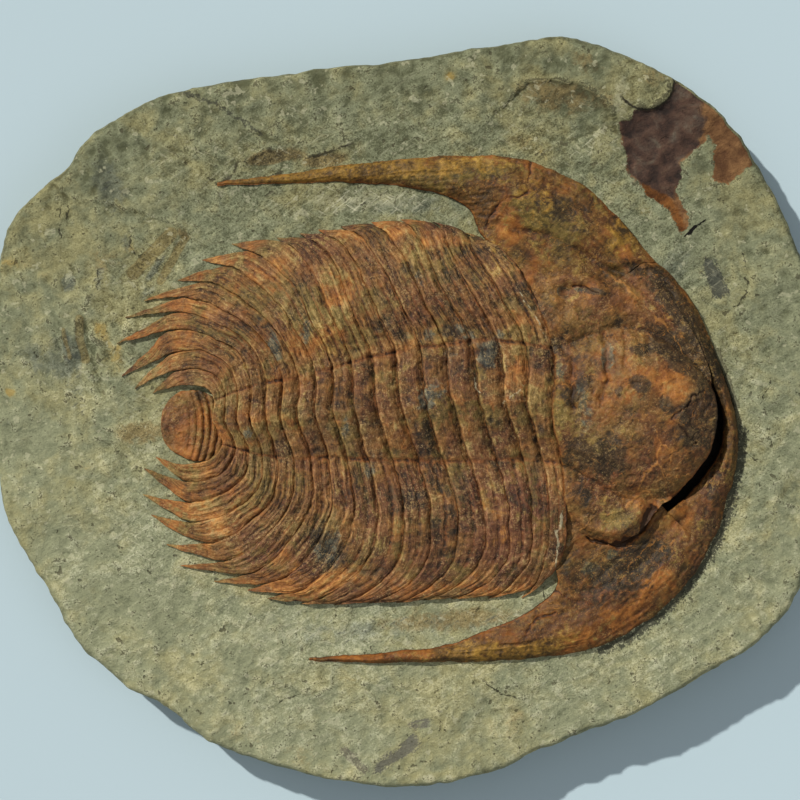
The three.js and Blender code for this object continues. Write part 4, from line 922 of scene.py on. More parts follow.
OCHRE = [
    (-131, 25, 8, 8, 0, 0.8), (-137, 37, 4, 6, 20, 0.9), (-124, 72, 9, 5, 0, 0.5),
    (105, 93, 9, 4, -40, 0.7), (-70, -80, 9, 5, 0, 0.5), (141, -40, 6, 4, 0, 0.5),
    (-178, 9, 2.4, 1.8, 0, 1.5), (-180, 67, 7, 5, 0, 0.6), (34, 117, 14, 3, 5, 0.4),
    (20, 151, 3, 2.4, 0, 1.0), (-110, 45, 20, 10, 0, 0.35), (-150, -30, 16, 14, 0, 0.3),
    (152, 60, 8, 10, 0, 0.3), (0, -97, 40, 6, 0, 0.25), (-40, 96, 30, 4, 5, 0.3),
    (160, 20, 8, 16, 0, 0.25), (-30, -120, 20, 8, 0, 0.3), (60, 120, 10, 5, -20, 0.4),
]
BLUE = [
    (-163, 24, 14, 11, 0, 0.7), (-149, 8, 8, 15, 0, 0.6), (-133, 101, 8, 14, 20, 0.9),
    (-112.6, 65, 9, 2.2, 53, 1.2), (-152, 58, 4, 5, 0, 1.2), (-138, 60, 3, 8, 0, 1.0),
    (-152, 29, 2, 9, 5, 0.9), (-148, 26, 1.5, 9, 5, 0.8), (-116, 54, 7, 3, 40, 0.9),
    (-126, 76, 3, 5, 20, 0.9), (-112, 124, 20, 10, -20, 0.3),
    
    (0, 93, 34, 6, 0, 0.6), (20, -95, 44, 6, 3, 0.6),
    (-75, -75, 24, 10, -35, 0.4), (-100, 20, 20, 12, 0, 0.4), (118, 62, 8, 16, -35, 0.5),
    (60, 122, 22, 6, -20, 0.35), (-40, -100, 30, 8, 0, 0.4), (132, 106, 7, 14, 30, 0.4),
    (-60, 140, 40, 8, -8, 0.3),
]
PALE = [
    (97, 142, 5, 12, 0, 0.8), (60, 148, 12, 5, 0, 0.3),
    (10, -165, 3.2, 2.2, 0, 1.4), (-118, 37, 2.4, 1.6, 0, 1.2), (-60, -98, 16, 8, 0, 0.7),
    (-20, -105, 20, 5, 0, 0.5), (50, -92, 12, 4, 20, 0.5), (-120, -60, 10, 16, -20, 0.4),
    (143, -30, 5, 4, 0, 0.8), (152, -20, 4, 6, 0, 0.5), (88, 120, 16, 7, 0, 0.5),
    (-100, 115, 20, 6, 0, 0.3), (-20, 95, 34, 6, 2, 0.75), (-62, -112, 7, 4, 0, 0.7),
]
LEDGES = [  # the ground to the left of the line stands higher by a step that fades out
    ([(46, 140), (54, 148), (68, 149), (80, 148), (94, 135), (96, 128)], 1.2, 14),
    ([(47, 116), (60, 124), (75, 121), (88, 128), (101, 124)], -0.9, 9),
    ([(-118, 55), (-104, 78)], 0.8, 5), ([(-93, 77), (-106, 52)], 0.7, 5),
    ([(-146, 39), (-140, 14)], -1.0, 5), ([(-138, 15), (-144, 40)], -0.9, 6),
    ([(-136, -8), (-128, -15), (-112, -15), (-105, -8)], 0.8, 6),
    ([(-165, 106), (-150, 96), (-128, 92), (-105, 84)], 0.9, 12),
    ([(-70, 127), (-52, 121), (-34, 117)], 0.7, 9), ([(-46, 113), (-38, 116), (-25, 121)], 0.9, 5),
    ([(-87, 102), (-77, 108), (-71, 112.5), (-62, 117)], 1.1, 5), ([(155, 64), (150, 40), (158, 20)], 0.6, 9),
    ([(-150, 62), (-140, 48), (-128, 44)], -0.8, 7), ([(-160, 40), (-152, 20), (-156, 0)], 0.7, 8),
    ([(-96, 118), (-60, 110)], 0.6, 6), ([(-70, -120), (-40, -128), (-5, -120)], 0.6, 10),
    ([(40, -126), (70, -122), (110, -104)], 0.6, 9), ([(60, -118), (20, -124)], 0.4, 8),
]


def near_fossil(x, y):
    """Distance outside the fossil's outline, 0 inside it."""
    return np.clip(-inside_by(x, y, FOSSIL), 0, None)


def ledges(x, y):
    """Steps in the bedding: rise * exp(-distance / reach) on the left side of each line."""
    total = np.zeros(np.shape(x))
    x, y = x + 2.2 * noise(x, y, 7.0, 131), y + 2.2 * noise(x, y, 7.0, 132)
    for line, rise, reach in LEDGES:
        line = np.asarray(line, float)
        best, side = np.full(np.shape(x), 1e9), np.zeros(np.shape(x))
        for a, b in zip(line[:-1], line[1:]):
            d = b - a
            f = np.clip(((x - a[0]) * d[0] + (y - a[1]) * d[1]) / (d @ d), 0, 1)
            gap = np.hypot(x - a[0] - f * d[0], y - a[1] - f * d[1])
            turn = d[0] * (y - a[1]) - d[1] * (x - a[0])
            side = np.where(gap < best, np.sign(turn), side)
            best = np.minimum(best, gap)
        total += rise * np.exp(-best / reach) * (side > 0)
    return total


def block_top(x, y, distance):
    """Height of the top, from the distance to the block's edge and the marks."""
    rag = noise(x, y, 6.0, 141, 3)
    height = BED - (0.9 + 2.2 * rag) * np.exp(-distance / 2.4)
    height = height - 0.7 * np.exp(-distance / 0.5)
    free = smooth(0, 22, near_fossil(x, y))
    height = height + 0.9 * noise(x, y, 55.0, 3, 2) * free - 0.35
    height = height + noise(x, y, 15.0, 4, 4) * (0.35 + 0.9 * free)
    height = height + 0.3 * creased(x, y, 9.0, 6, 4) * (0.5 + 0.5 * free)
    height = height + 0.5 * np.round(2.2 * noise(x, y, 19.0, 16, 4) + 0.4 * rag) / 1.6
    height = height + 0.35 * noise(x, y, 4.5, 8, 3)
    rough_left = smooth(34, 8, np.hypot((x + 138) / 0.9, (y - 40) / 1.1))
    height = height + 1.5 * rough_left * noise(x / 0.6, y, 8.0, 12, 4)
    height = height + ledges(x, y) * (0.3 + 0.7 * free)
    dx, dy = x - FLAKE_MIDDLE[0], y - FLAKE_MIDDLE[1]
    flake = np.minimum(FLAKE_RADIUS - np.hypot(dx, dy), dx + 4.5 + 1.2 * rag)
    stain = np.minimum(inside_by(x, y, STAIN) + 1.8 * noise(x, y, 5.0, 14), -flake - 0.2)
    height = height - 0.9 * smooth(-0.4, 0.8, stain) + 1.0 * smooth(-0.3, 0.5, flake)
    crust = np.exp(-((near_fossil(x, y) / 3.5) ** 2)) * (1 + 0.9 * noise(x, y, 7.0, 143, 3))
    gap = near_line(x, y, SNOUT_CREVICE)
    # The crevice under the snout is sunk 3.5 mm; the third value returned marks its floor for a painted
    # shadow.
    height = height + 0.65 * crust * smooth(5, 9, gap) - 3.5 * smooth(6.5, 4.5, gap)
    return height, stain, smooth(6.5, 5.0, gap)


# %% Rings of the block
def block_piece():
    """Rings of points: up the broken side, over the rim and in to the middle of the top."""
    rays, rings, side_rings = 800, 106, 12
    t = np.arange(rays) / rays
    rim = closed_outline(BLOCK, t)
    low, high = rim.min(0), rim.max(0)
    rim = ((rim - low) / (high - low) - 0.5) * [BLOCK_LENGTH, BLOCK_WIDTH]
    radius = np.linalg.norm(rim, axis=1)[:, None]
    nick = 0.8 * noise(rim[:, 0], rim[:, 1], 5.0, 45, 3) + 0.6 * noise(rim[:, 0], rim[:, 1], 14, 47, 2)
    rim = rim * (1.001 + (nick[:, None] - 0.9) / radius)
    skin = []
    for level in np.linspace(0, 1, side_rings):
        share = through([(0, 0.968), (0.16, 0.985), (0.42, 0.998), (0.7, 0.999), (1, 0.993)],
                        level)[0]
        z = level * (BED - EDGE_DROP)
        turn = np.arctan2(rim[:, 1], rim[:, 0]) * 160
        chip = noise(turn, turn * 0 + z * 1.6, 7.0, 41, 4) - 0.7
        chip = 1.6 * chip * math.sin(math.pi * min(level + 0.12, 1))
        flat = rim * (share + chip[:, None] / radius)
        skin.append(np.column_stack([flat, np.full(rays, z)]))
    k = np.arange(1, rings + 1) / (rings + 1)
    inner = 1 - 0.62 * np.minimum(k / 0.84, 1) - 0.38 * np.clip((k - 0.84) / 0.16, 0, 1)
    xy = rim[None] * (0.993 * inner)[:, None, None]
    x, y = xy[..., 0], xy[..., 1]
    distance = (0.993 * np.linalg.norm(rim, axis=1))[None] - np.linalg.norm(xy, axis=-1)
    height, stain, shade = block_top(x, y, distance)
    skin = np.concatenate([np.array(skin), np.dstack([x, y, height])])
    below = np.zeros((side_rings, rays))
    fields = dict(stain=stain, relief=height - blurred(height, 2), edge=distance,
                  shade=shade, fossil=near_fossil(x, y), rim_shadow_distance=near_line(x, y, HEAD_RIM),
                  **{name: spots(x, y, table) for name, table in dict(
                      brown=BROWN, ochre=OCHRE, blue=BLUE, pale=PALE).items()})
    far = dict(stain=-20.0, fossil=60.0, rim_shadow_distance=60.0)
    marks = {name: np.vstack([below + far.get(name, 0.0), values])
             for name, values in fields.items()}
    return disc("stone_block", skin, marks, "matrix_slab", 0.0)


block = block_piece()

# %% [markdown]
# ## Paint as expressions
# Shader nodes are easier to read as sums than as a web of boxes. A small class wraps a node's
# output and lets Python's own operators add the Math nodes. One method makes any other node
# from its type, its settings and its inputs.


# %% Shader expressions
class Value:
    """A number, colour or vector that varies over a surface."""

    def __init__(self, finish, socket):
        self.finish, self.socket = finish, socket

    def math(self, operation, first, second=None):
        """A Math node of one or two inputs."""
        inputs = {0: first} if second is None else {0: first, 1: second}
        return self.finish.node("ShaderNodeMath", {"operation": operation}, inputs)

    def __add__(self, other):
        return self.math("ADD", self, other)

    def __sub__(self, other):
        return self.math("SUBTRACT", self, other)

    def __rsub__(self, other):
        return self.math("SUBTRACT", other, self)

    def __mul__(self, other):
        return self.math("MULTIPLY", self, other)

    def __truediv__(self, other):
        return self.math("DIVIDE", self, other)

    __radd__ = __add__
    __rmul__ = __mul__

    def lower(self, other):
        """The lower of two values."""
        return self.math("MINIMUM", self, other)

    def line(self, level, width):
        """1 where the value is at a level, 0 where it is farther off than the width."""
        off = self.math("ABSOLUTE", self - level)
        return off.smooth(width, 0.0)

    def smooth(self, low, high):
        """0 at low, 1 at high, with a soft start and end."""
        settings = {"interpolation_type": "SMOOTHSTEP"}
        inputs = {"Value": self, "From Min": low, "From Max": high}
        return self.finish.node("ShaderNodeMapRange", settings, inputs)


class Finish:
    """A material built up from expressions."""

    def __init__(self, name, specular=0.3):
        self.material = bpy.data.materials.new(name)
        self.material.use_nodes = True
        self.tree = self.material.node_tree
        self.shader = self.tree.nodes["Principled BSDF"]
        self.shader.inputs["Specular IOR Level"].default_value = specular
        self.place = self.node("ShaderNodeTexCoord", {}, {}, "Object")

    def node(self, kind, settings, inputs, output=0):
        """Any node: its type, its settings, its inputs as numbers or other values."""
        made = self.tree.nodes.new(kind)
        for key, value in settings.items():
            setattr(made, key, value)
        for key, value in inputs.items():
            if isinstance(value, Value):
                self.tree.links.new(value.socket, made.inputs[key])
            else:
                made.inputs[key].default_value = value
        return Value(self, made.outputs[output])

    def vector(self, operation, first, second, output=0):
        """A Vector Math node."""
        return self.node("ShaderNodeVectorMath", {"operation": operation},
                         {0: first, 1: second}, output)

    def attribute(self, name):
        """A number stored on the mesh's points."""
        return self.node("ShaderNodeAttribute", {"attribute_name": name}, {}, "Fac")

    def noise(self, size, detail=4, rough=0.6, place=None, warp=0.0, output="Fac"):
        """Noise from 0 to 1 whose lumps are about size millimetres across."""
        inputs = {"Vector": place or self.place, "Scale": 1000 / size, "Detail": detail,
                  "Roughness": rough, "Distortion": warp}
        return self.node("ShaderNodeTexNoise", {}, inputs, output)

    def stretched(self, x, y, z=1, turn=0.0, source=None):
        """Coordinates scaled differently along each axis, for streaks."""
        turned = self.node("ShaderNodeMapping", {}, {
            "Vector": source or self.place, "Rotation": (0, 0, math.radians(turn))}, "Vector")
        return self.vector("MULTIPLY", turned, (x, y, z))

    def wandering(self, amount, size):
        """Flat coordinates pushed about by noise, so that straight lines become ragged."""
        push = self.vector("SUBTRACT", self.noise(size, 3, output="Color"), (0.5, 0.5, 0.5))
        push = self.vector("MULTIPLY", push, (amount * MM, amount * MM, 0))
        return self.vector("ADD", self.vector("MULTIPLY", self.place, (1, 1, 0)), push)

    def near(self, place, lines):
        """Distance in millimetres from the nearest of some polylines."""
        best = None
        for line in lines:
            for (ax, ay), (bx, by) in zip(line[:-1], line[1:]):
                dx, dy = (bx - ax) * MM, (by - ay) * MM
                square = dx * dx + dy * dy
                offset = self.vector("SUBTRACT", place, (ax * MM, ay * MM, 0))
                share = self.vector("DOT_PRODUCT", offset, (dx / square, dy / square, 0), "Value")
                share = self.node("ShaderNodeClamp", {}, {0: share})
                foot = self.node("ShaderNodeVectorMath", {"operation": "SCALE"},
                                 {0: (dx, dy, 0), "Scale": share})
                gap = self.vector("DISTANCE", offset, foot, "Value") * 1000
                best = gap if best is None else best.lower(gap)
        return best

    def along(self, axis, low, high):
        """0 to 1 between two places along one axis of the object."""
        part = self.node("ShaderNodeSeparateXYZ", {}, {0: self.place}, axis)
        return part.smooth(low, high)

    def mix(self, mask, below, above):
        """Colour below where mask is 0, colour above where it is 1."""
        return self.node("ShaderNodeMix", {"data_type": "RGBA"}, {0: mask, 6: below, 7: above}, 2)

    def steps(self, masks, colours):
        """Four colours, from dark to light, chosen by three masks of one tone."""
        colour = srgb(*colours[0])
        for mask, above in zip(masks, colours[1:]):
            colour = self.mix(mask, colour, srgb(*above))
        return colour

    def done(self, colour, rough, bump, distance):
        """Plug the colour, roughness and bump height into the shader."""
        self.tree.links.new(colour.socket, self.shader.inputs["Base Color"])
        self.tree.links.new(rough.socket, self.shader.inputs["Roughness"])
        inputs = {"Height": bump, "Strength": 1.0, "Distance": distance * MM}
        made = self.node("ShaderNodeBump", {}, inputs, "Normal")
        self.tree.links.new(made.socket, self.shader.inputs["Normal"])
        return self.material


def srgb(r, g, b):
    """Linear colour from the 0 to 255 values seen on a screen."""
    linear = [((c / 255 + 0.055) / 1.055) ** 2.4 if c > 10 else c / 255 / 12.92 for c in (r, g, b)]
    return (*linear, 1.0)


# %% [markdown]
# ## Fossil shell
# The shell has gone to brown calcite, stained by iron: orange where an edge is worn, with
# blue-black manganese blotches and pale crystal specks. Its grooves and hollows are painted
# dark as shade, and raised points a little lighter, as painted light. Four steps from deep
# brown to orange follow one noisy tone, and then each film is laid over where its mask,
# roughened by more noise, passes a threshold. All plates share the recipe.


# %% Shell finish
BROWN_SHELL = (56, 38, 20), (99, 67, 34), (129, 89, 46), (174, 128, 76)
RUST_SHELL = (84, 48, 22), (134, 80, 36), (163, 104, 48), (206, 150, 80)
GOLD_SHELL = (76, 55, 24), (133, 100, 43), (166, 129, 59), (208, 174, 104)
OLIVE_SHELL = (62, 55, 28), (96, 84, 42), (122, 107, 56), (168, 148, 92)
RED_SHELL = (50, 32, 22), (86, 51, 33), (112, 71, 45), (150, 106, 72)
DARK_SHELL = (30, 25, 18), (50, 42, 30), (76, 64, 45), (120, 100, 72)
GREY_SHELL = (38, 42, 39), (60, 64, 57), (92, 94, 80), (140, 136, 110)


def shell_finish(name, streaky=False, shift=0.0, tint=(1.0, 1.0, 1.0)):
    """Weathered shell; a positive shift makes the whole plate lighter."""
    f = Finish(name, specular=0.3 if streaky else 0.25)
    groove, relief, patch = f.attribute("groove"), f.attribute("relief"), f.attribute("patch")
    flaked, vein, chalk = f.attribute("flaked"), f.attribute("vein"), f.attribute("chalk")
    warm, dark, cold = f.attribute("warm"), f.attribute("dark"), f.attribute("cold")
    olive, red, gold = f.attribute("olive"), f.attribute("red"), f.attribute("gold")
    broad, mid = f.noise(12, 3, 0.6, warp=0.5), f.noise(3.6, 3, 0.65, warp=0.3)
    fine, grain = f.noise(1.5, 3, 0.7), f.noise(0.7, 2, 0.7)
    if streaky:
        along = f.node("ShaderNodeUVMap", {"uv_map": "along"}, {}, "UV")
        calm = f.attribute("calm")
        cloud = f.noise(5, 5, 0.65, warp=0.4)
        thread = f.noise(2.2, 3, 0.65, place=f.stretched(0.12, 1, source=along))
        hair = f.noise(0.9, 2, 0.6, place=f.stretched(0.12, 1, source=along))
        tone = thread * 0.56 + hair * 0.44
        tone = (tone + (cloud - tone) * calm) * 0.46 + mid * 0.28 + fine * 0.26 + patch * 0.12
        lit = (1 - calm) * 0.4
        steps = (0.38, 0.48), (0.46, 0.55), (0.54, 0.66)
        heavy, pitted = 0.85, 0.36
    else:
        thread = f.noise(2.6, 3, 0.7, place=f.stretched(0.5, 1, turn=-35), warp=0.8)
        hair = f.noise(1.0, 2, 0.6, place=f.stretched(0.35, 1, turn=-50))
        tone = thread * 0.3 + mid * 0.3 + broad * 0.1 + hair * 0.12 + fine * 0.18 + patch * 0.08
        lit = 0.15
        steps = (0.35, 0.48), (0.45, 0.57), (0.55, 0.7)
        heavy, pitted = 0.8, 0.25
        dark = dark * 1.3
    # Raised points are painted lighter and hollows darker: painted light and shade.
    tone = tone + relief * 0.16 + (warm - dark) * 0.03 + shift
    masks = [tone.smooth(low, high) for low, high in steps]
    drift = (mid - 0.5) * 2.0 + (thread - 0.5) * 1.6 + (broad - 0.5) * 2.6
    colour = f.steps(masks, BROWN_SHELL)
    film = f.noise(15, 3, 0.6)
    colour = f.mix(film.smooth(0.51, 0.59) * (0.6 if streaky else 0.3), colour,
                   f.steps(masks, OLIVE_SHELL))
    colour = f.mix(film.smooth(0.48, 0.41) * 0.65, colour, f.steps(masks, RED_SHELL))
    colour = f.mix((red + drift - patch * 0.5).smooth(0.2, 0.9), colour,
                   f.steps(masks, RED_SHELL))
    colour = f.mix((warm - drift + patch * 0.6).smooth(0.2, 1.0) * 0.9, colour,
                   f.steps(masks, RUST_SHELL))
    colour = f.mix((olive + drift).smooth(0.25, 0.9) * 0.75, colour, f.steps(masks, OLIVE_SHELL))
    gloom = (dark * 1.2 - 0.15 - drift * 0.8 - patch * 0.5).smooth(0.3, 0.9) * heavy
    colour = f.mix(gloom, colour, f.steps(masks, DARK_SHELL))
    colour = f.mix((gold + drift * 0.5).smooth(0.2, 0.8) * 0.9, colour,
                   f.steps(masks, GOLD_SHELL))
    blot = (broad - 0.5) * 2.0 + (mid - 0.5) * 1.6
    colour = f.mix((cold * 1.3 + blot).smooth(0.5, 0.9) * heavy, colour,
                   f.steps(masks, GREY_SHELL))
    flake = flaked * fine.smooth(0.4, 0.6) * (1 - gloom)
    colour = f.mix(flake * 0.35, colour, srgb(116, 92, 62))
    # Painted highlight: thin pale lines along the threads of the ribs.
    colour = f.mix(hair.line(0.52, 0.022) * lit, colour, srgb(182, 142, 84))
    if not streaky:
        net = f.noise(9, 3, 0.6, warp=1.4)
        strand = (net.line(0.5, 0.012) + (fine - 0.5)).smooth(0.3, 0.9)
        colour = f.mix(strand * mid.smooth(0.44, 0.54) * 0.5, colour, srgb(180, 120, 56))
    colour = f.mix((vein + (fine - 0.5) * 2).smooth(0.45, 0.9) * 0.5, colour, srgb(176, 120, 60))
    crust = (grain * 0.6 + fine * 0.4 + (broad - 0.5) * 0.3).smooth(0.555, 0.63)
    colour = f.mix(crust * pitted, colour, srgb(200, 168, 114))
    colour = f.mix((chalk + (fine - 0.5) * 1.5).smooth(0.35, 0.8) * 0.7, colour,
                   srgb(184, 172, 138))
    crevice = thread.line(0.48, 0.018) * (pitted * 0.8)
    pit = (fine * 0.5 + grain * 0.5).smooth(0.42, 0.34) * pitted
    colour = f.mix(crevice + pit, colour, srgb(42, 29, 18))
    rusty = (groove * 1.6 + (mid - 0.5) * 1.4).smooth(0.15, 0.8) * 0.5
    colour = f.mix(rusty * (1 - gloom), colour, srgb(146, 84, 38))
    # Painted shade: grooves, crevices, cracks and low points darkened almost to black.
    shade = (groove + (0.5 - fine) * 1.0 - relief * 0.5).smooth(0.3, 1.0)
    colour = f.mix(shade * 0.85, colour, srgb(32, 22, 14))
    colour = f.vector("MULTIPLY", colour, tint)
    rough = (0.5 if streaky else 0.45) + fine * 0.35
    if streaky:
        bump = thread * 0.6 + hair * 0.4 + mid * 0.5 + fine * 0.5 + grain * 0.3
    else:
        bump = thread * 0.3 + hair * 0.15 + mid * 0.6 + fine * 0.25 + grain * 0.12
    return f.done(colour, rough, bump, 0.95 if streaky else 0.85)


body_finish = shell_finish("body shell", streaky=True)
head_finish = shell_finish("head shell", shift=-0.02, tint=(1.0, 0.99, 0.9))
cheek_finish = shell_finish("cheek shell", shift=-0.05, tint=(0.9, 0.88, 0.68))
tail_finish = shell_finish("tail shell", shift=-0.015)
for piece in body_pieces:
    piece.data.materials.append(body_finish)
head.data.materials.append(head_finish)
for piece in cheeks:
    piece.data.materials.append(cheek_finish)
tail.data.materials.append(tail_finish)

# %% [markdown]
# ## Mudstone
# The stone is a fine grey-green mud with a matt surface. The preparation left pale worked
# ground between the spines and the body, the weather left an olive tint, and iron stained one
# corner dark red-brown. The stored distances place those marks, and open cracks are drawn by
# the shader itself, because they are finer than the mesh. Shadows are painted on as well:
# under the lower lip of the round flake, in a band beside the head's lower right rim, in the
# crevices above the left genal spine and in the sunk crevice under the snout; raised points
# are painted lighter and low ones darker.

# %% Stone finish
STONE_CRACKS = [
    [(-155.5, 92), (-156, 88)], [(-152, 93), (-152.5, 86)],
    [(-156, 84), (-155.8, 78)], [(-138.7, 64), (-138.2, 55)], [(-124, 79), (-125, 75), (-122, 71)],
    [(-57, -130), (-48, -127)], [(16, -139), (15, -143)], [(164, 15), (160, 4)],
    [(34, -121), (44, -127), (50, -129)], [(152, -18), (158, -22)],
    [(62, -78.5), (62.6, -87), (60, -92)],
    [(151, 72), (152.5, 66)], [(153, 60), (154, 55), (151, 50.5), (147.5, 47)],
]
CREVICES = [
    [(-87, 102), (-81, 104), (-77, 108), (-75.5, 113.5), (-71, 112)], [(-71, 112), (-62, 118)],
    [(-46, 113.5), (-38, 116), (-25, 120.5)], [(-71, 103), (-64, 105), (-56.5, 108)],
]
BARS = [
    ([[(-105.7, 80), (-122.9, 62.4)]], 3.1), ([[(-99.5, 78), (-110.5, 59)]], 2.0),
    ([[(-147, 42), (-146.8, 33), (-144.2, 23.4)]], 1.9), ([[(-154.5, 37), (-151.3, 24.4)]], 1.0),
]
SMEARS = [
    ([(136.5, 65.5), (141, 55)], 3.4, 66, (56, 58, 56)),
    ([(-12, -160), (4, -148.5)], 2.0, -36, (92, 90, 84)),
    ([(-28, -152), (-19, -161)], 1.2, 45, (104, 98, 84)), ([(3, -141.5), (9, -140)], 0.9, -14, (104, 100, 90)),
]
STONE_VEINS = [[(-104, 146), (-85, 138), (-65, 125.6)], [(-112, 145), (-20, 160), (40, 167)]]
GREY_STONE = (84, 86, 62), (121, 124, 96), (140, 142, 111), (178, 178, 146)
OLIVE_STONE = (88, 82, 52), (130, 125, 87), (150, 145, 104), (184, 178, 136)
BROWN_STONE = (62, 52, 32), (106, 91, 58), (130, 113, 74), (162, 146, 102)
BLUE_STONE = (58, 61, 50), (96, 100, 84), (124, 127, 108), (166, 168, 146)
BAR_STONE = (74, 62, 34), (106, 91, 54), (126, 111, 68), (156, 142, 96)
STAIN_DEEP = (44, 35, 31), (76, 56, 46), (97, 73, 58), (140, 114, 94)
STAIN_GREY = (42, 42, 42), (72, 70, 62), (96, 94, 82), (132, 130, 116)
STAIN_RUST = (84, 56, 35), (117, 84, 53), (142, 107, 69), (178, 144, 102)
STAIN_FRESH = (74, 44, 20), (109, 67, 31), (134, 87, 43), (170, 124, 74)


def stone_finish():
    """Mudstone with its films, tool marks, cracks and the stained scar, plus painted shadows."""
    f = Finish("mudstone", specular=0.2)
    relief, edge = f.attribute("relief"), f.attribute("edge")
    stain, shade = f.attribute("stain"), f.attribute("shade")
    fossil, rim_shadow_distance = f.attribute("fossil"), f.attribute("rim_shadow_distance")
    brown, ochre = f.attribute("brown"), f.attribute("ochre")
    blue, pale = f.attribute("blue"), f.attribute("pale")
    broad, mid = f.noise(42, 3, 0.6, warp=0.6), f.noise(9, 3, 0.6, warp=0.5)
    blotch = f.noise(20, 4, 0.6, warp=1.0)
    fine, grain = f.noise(2.2, 3, 0.7, warp=0.3), f.noise(0.8, 3, 0.75)
    flow = f.noise(2.6, 3, 0.7, place=f.stretched(0.3, 1, turn=-30))
    lively = 0.42 + fossil.smooth(40, 4) * 0.42 + (blotch - 0.5) * 1.5
    tone = fine * 0.22 + grain * 0.5 + flow * 0.28 - 0.5
    lift = (f.along("Y", 0.17, -0.12) - 0.5) * 0.1 + (blotch - 0.5) * 0.2 + pale * 0.03
    # Raised points are painted lighter and low points darker: painted light and shade.
    tone = tone * lively + 0.5 + (mid - 0.5) * 0.12 + relief * 0.14 + lift
    masks = [tone.smooth(0.38, 0.48), tone.smooth(0.46, 0.54), tone.smooth(0.54, 0.64)]
    film = (broad - 0.5) * 2.4 + (mid - 0.5) * 1.6 + (blotch - 0.5) * 1.2
    colour = f.steps(masks, GREY_STONE)
    colour = f.mix((ochre * 0.7 + film + 0.32).smooth(0.0, 1.0), colour,
                   f.steps(masks, OLIVE_STONE))
    colour = f.mix((blue - film * 0.5 + (fine - 0.5)).smooth(0.3, 0.9) * 0.8, colour,
                   f.steps(masks, BLUE_STONE))
    colour = f.mix((brown + film * 0.4 + (fine - 0.5)).smooth(0.4, 0.9) * 0.85, colour,
                   f.steps(masks, BROWN_STONE))
    colour = f.mix((ochre + (mid - 0.5) * 2 + (fine - 0.5)).smooth(0.5, 1.1) * 0.6, colour,
                   srgb(156, 128, 62))
    slate = (blue + (flow - 0.5) * 5 - 0.2).smooth(0.8, 1.3) * 0.6
    colour = f.mix(slate, colour, srgb(64, 67, 62))
    flat = f.vector("MULTIPLY", f.place, (1, 1, 0))
    rimmed = f.wandering(1.6, 4)
    for lines, width in BARS:
        reach = f.near(rimmed, lines)
        colour = f.mix(reach.smooth(width + 0.2, width - 0.5) * 0.7, colour,
                       f.steps(masks, BAR_STONE))
        colour = f.mix(reach.line(width, 0.35) * 0.35, colour, srgb(66, 60, 40))
    for line, width, turn, look in SMEARS:
        streaks = f.noise(1.6, 3, 0.7, place=f.stretched(0.16, 1, turn=turn))
        reach = f.near(rimmed, [line]) + (streaks - 0.5) * 8 + (grain - 0.5) * 6
        colour = f.mix(reach.smooth(width + 1.4, width - 0.6) * 0.8, colour, srgb(*look))
    scratch = f.noise(1.3, 2, 0.6, place=f.stretched(0.12, 1, turn=-38))
    scrape = f.noise(1.2, 2, 0.6, place=f.stretched(0.1, 1, turn=28))
    tooled = (scratch.smooth(0.60, 0.68) + scrape.smooth(0.61, 0.69)) * (0.2 + pale * 0.8)
    colour = f.mix(tooled * fossil.smooth(60, 8) * 0.8, colour, srgb(200, 196, 166))
    colour = f.mix((pale + (fine - 0.5) * 2.0).smooth(0.4, 1.1) * 0.5, colour,
                   srgb(182, 178, 146))
    # Dark pits in the stone, with more of them on low points as painted shade.
    pit = (fine * 0.4 + grain * 0.6 - relief * 0.35).smooth(0.4, 0.34)
    colour = f.mix(pit * 0.7, colour, srgb(62, 58, 40))
    chips = f.noise(4.6, 2, 0.6)
    nick = (chips + (fine - 0.5) * 0.3).smooth(0.70, 0.74)
    colour = f.mix(nick * 0.7, colour, srgb(66, 61, 42))
    colour = f.mix((chips + (fine - 0.5) * 0.2).smooth(0.36, 0.32) * 0.4, colour,
                   srgb(188, 184, 152))
    sparkle = (grain * 0.7 + fine * 0.3).smooth(0.62, 0.68)
    colour = f.mix(sparkle * 0.3, colour, srgb(198, 194, 162))
    # Painted shadow: a ragged dark band on the stone beside the head's lower right rim.
    rim_shadow = (rim_shadow_distance + (fine - 0.5) * 12 + (grain - 0.5) * 8).smooth(3.0, 1.6)
    colour = f.mix(rim_shadow * 0.85, colour, srgb(60, 60, 50))
    rust = (stain + (fine - 0.5) * 3 + (grain - 0.5) * 3).smooth(-0.1, 0.25)
    orange = f.along("X", 0.129, 0.139) + f.along("Y", 0.100, 0.092)
    orange = orange * 1.3 + stain.smooth(3, 0) * 0.5 + (mid - 0.5) * 2
    worn = [(tone * 0.7 + mid * 0.3).smooth(low, high)
            for low, high in ((0.36, 0.5), (0.45, 0.59), (0.54, 0.72))]
    cloudy = ((blotch - 0.5) * 3 + (mid - 0.5) * 2 + 0.2).smooth(0.0, 0.9) * 0.7
    film = f.mix(cloudy, f.steps(worn, STAIN_DEEP), f.steps(worn, STAIN_GREY))
    film = f.mix(orange.smooth(0.35, 0.9), film, f.steps(worn, STAIN_RUST))
    fresh = f.near(f.wandering(3, 5), [[(107, 98), (117, 93), (122, 82)]]) + (fine - 0.5) * 4
    film = f.mix(fresh.smooth(5.2, 3.4), film, f.steps(worn, STAIN_FRESH))
    colour = f.mix(rust, colour, film)
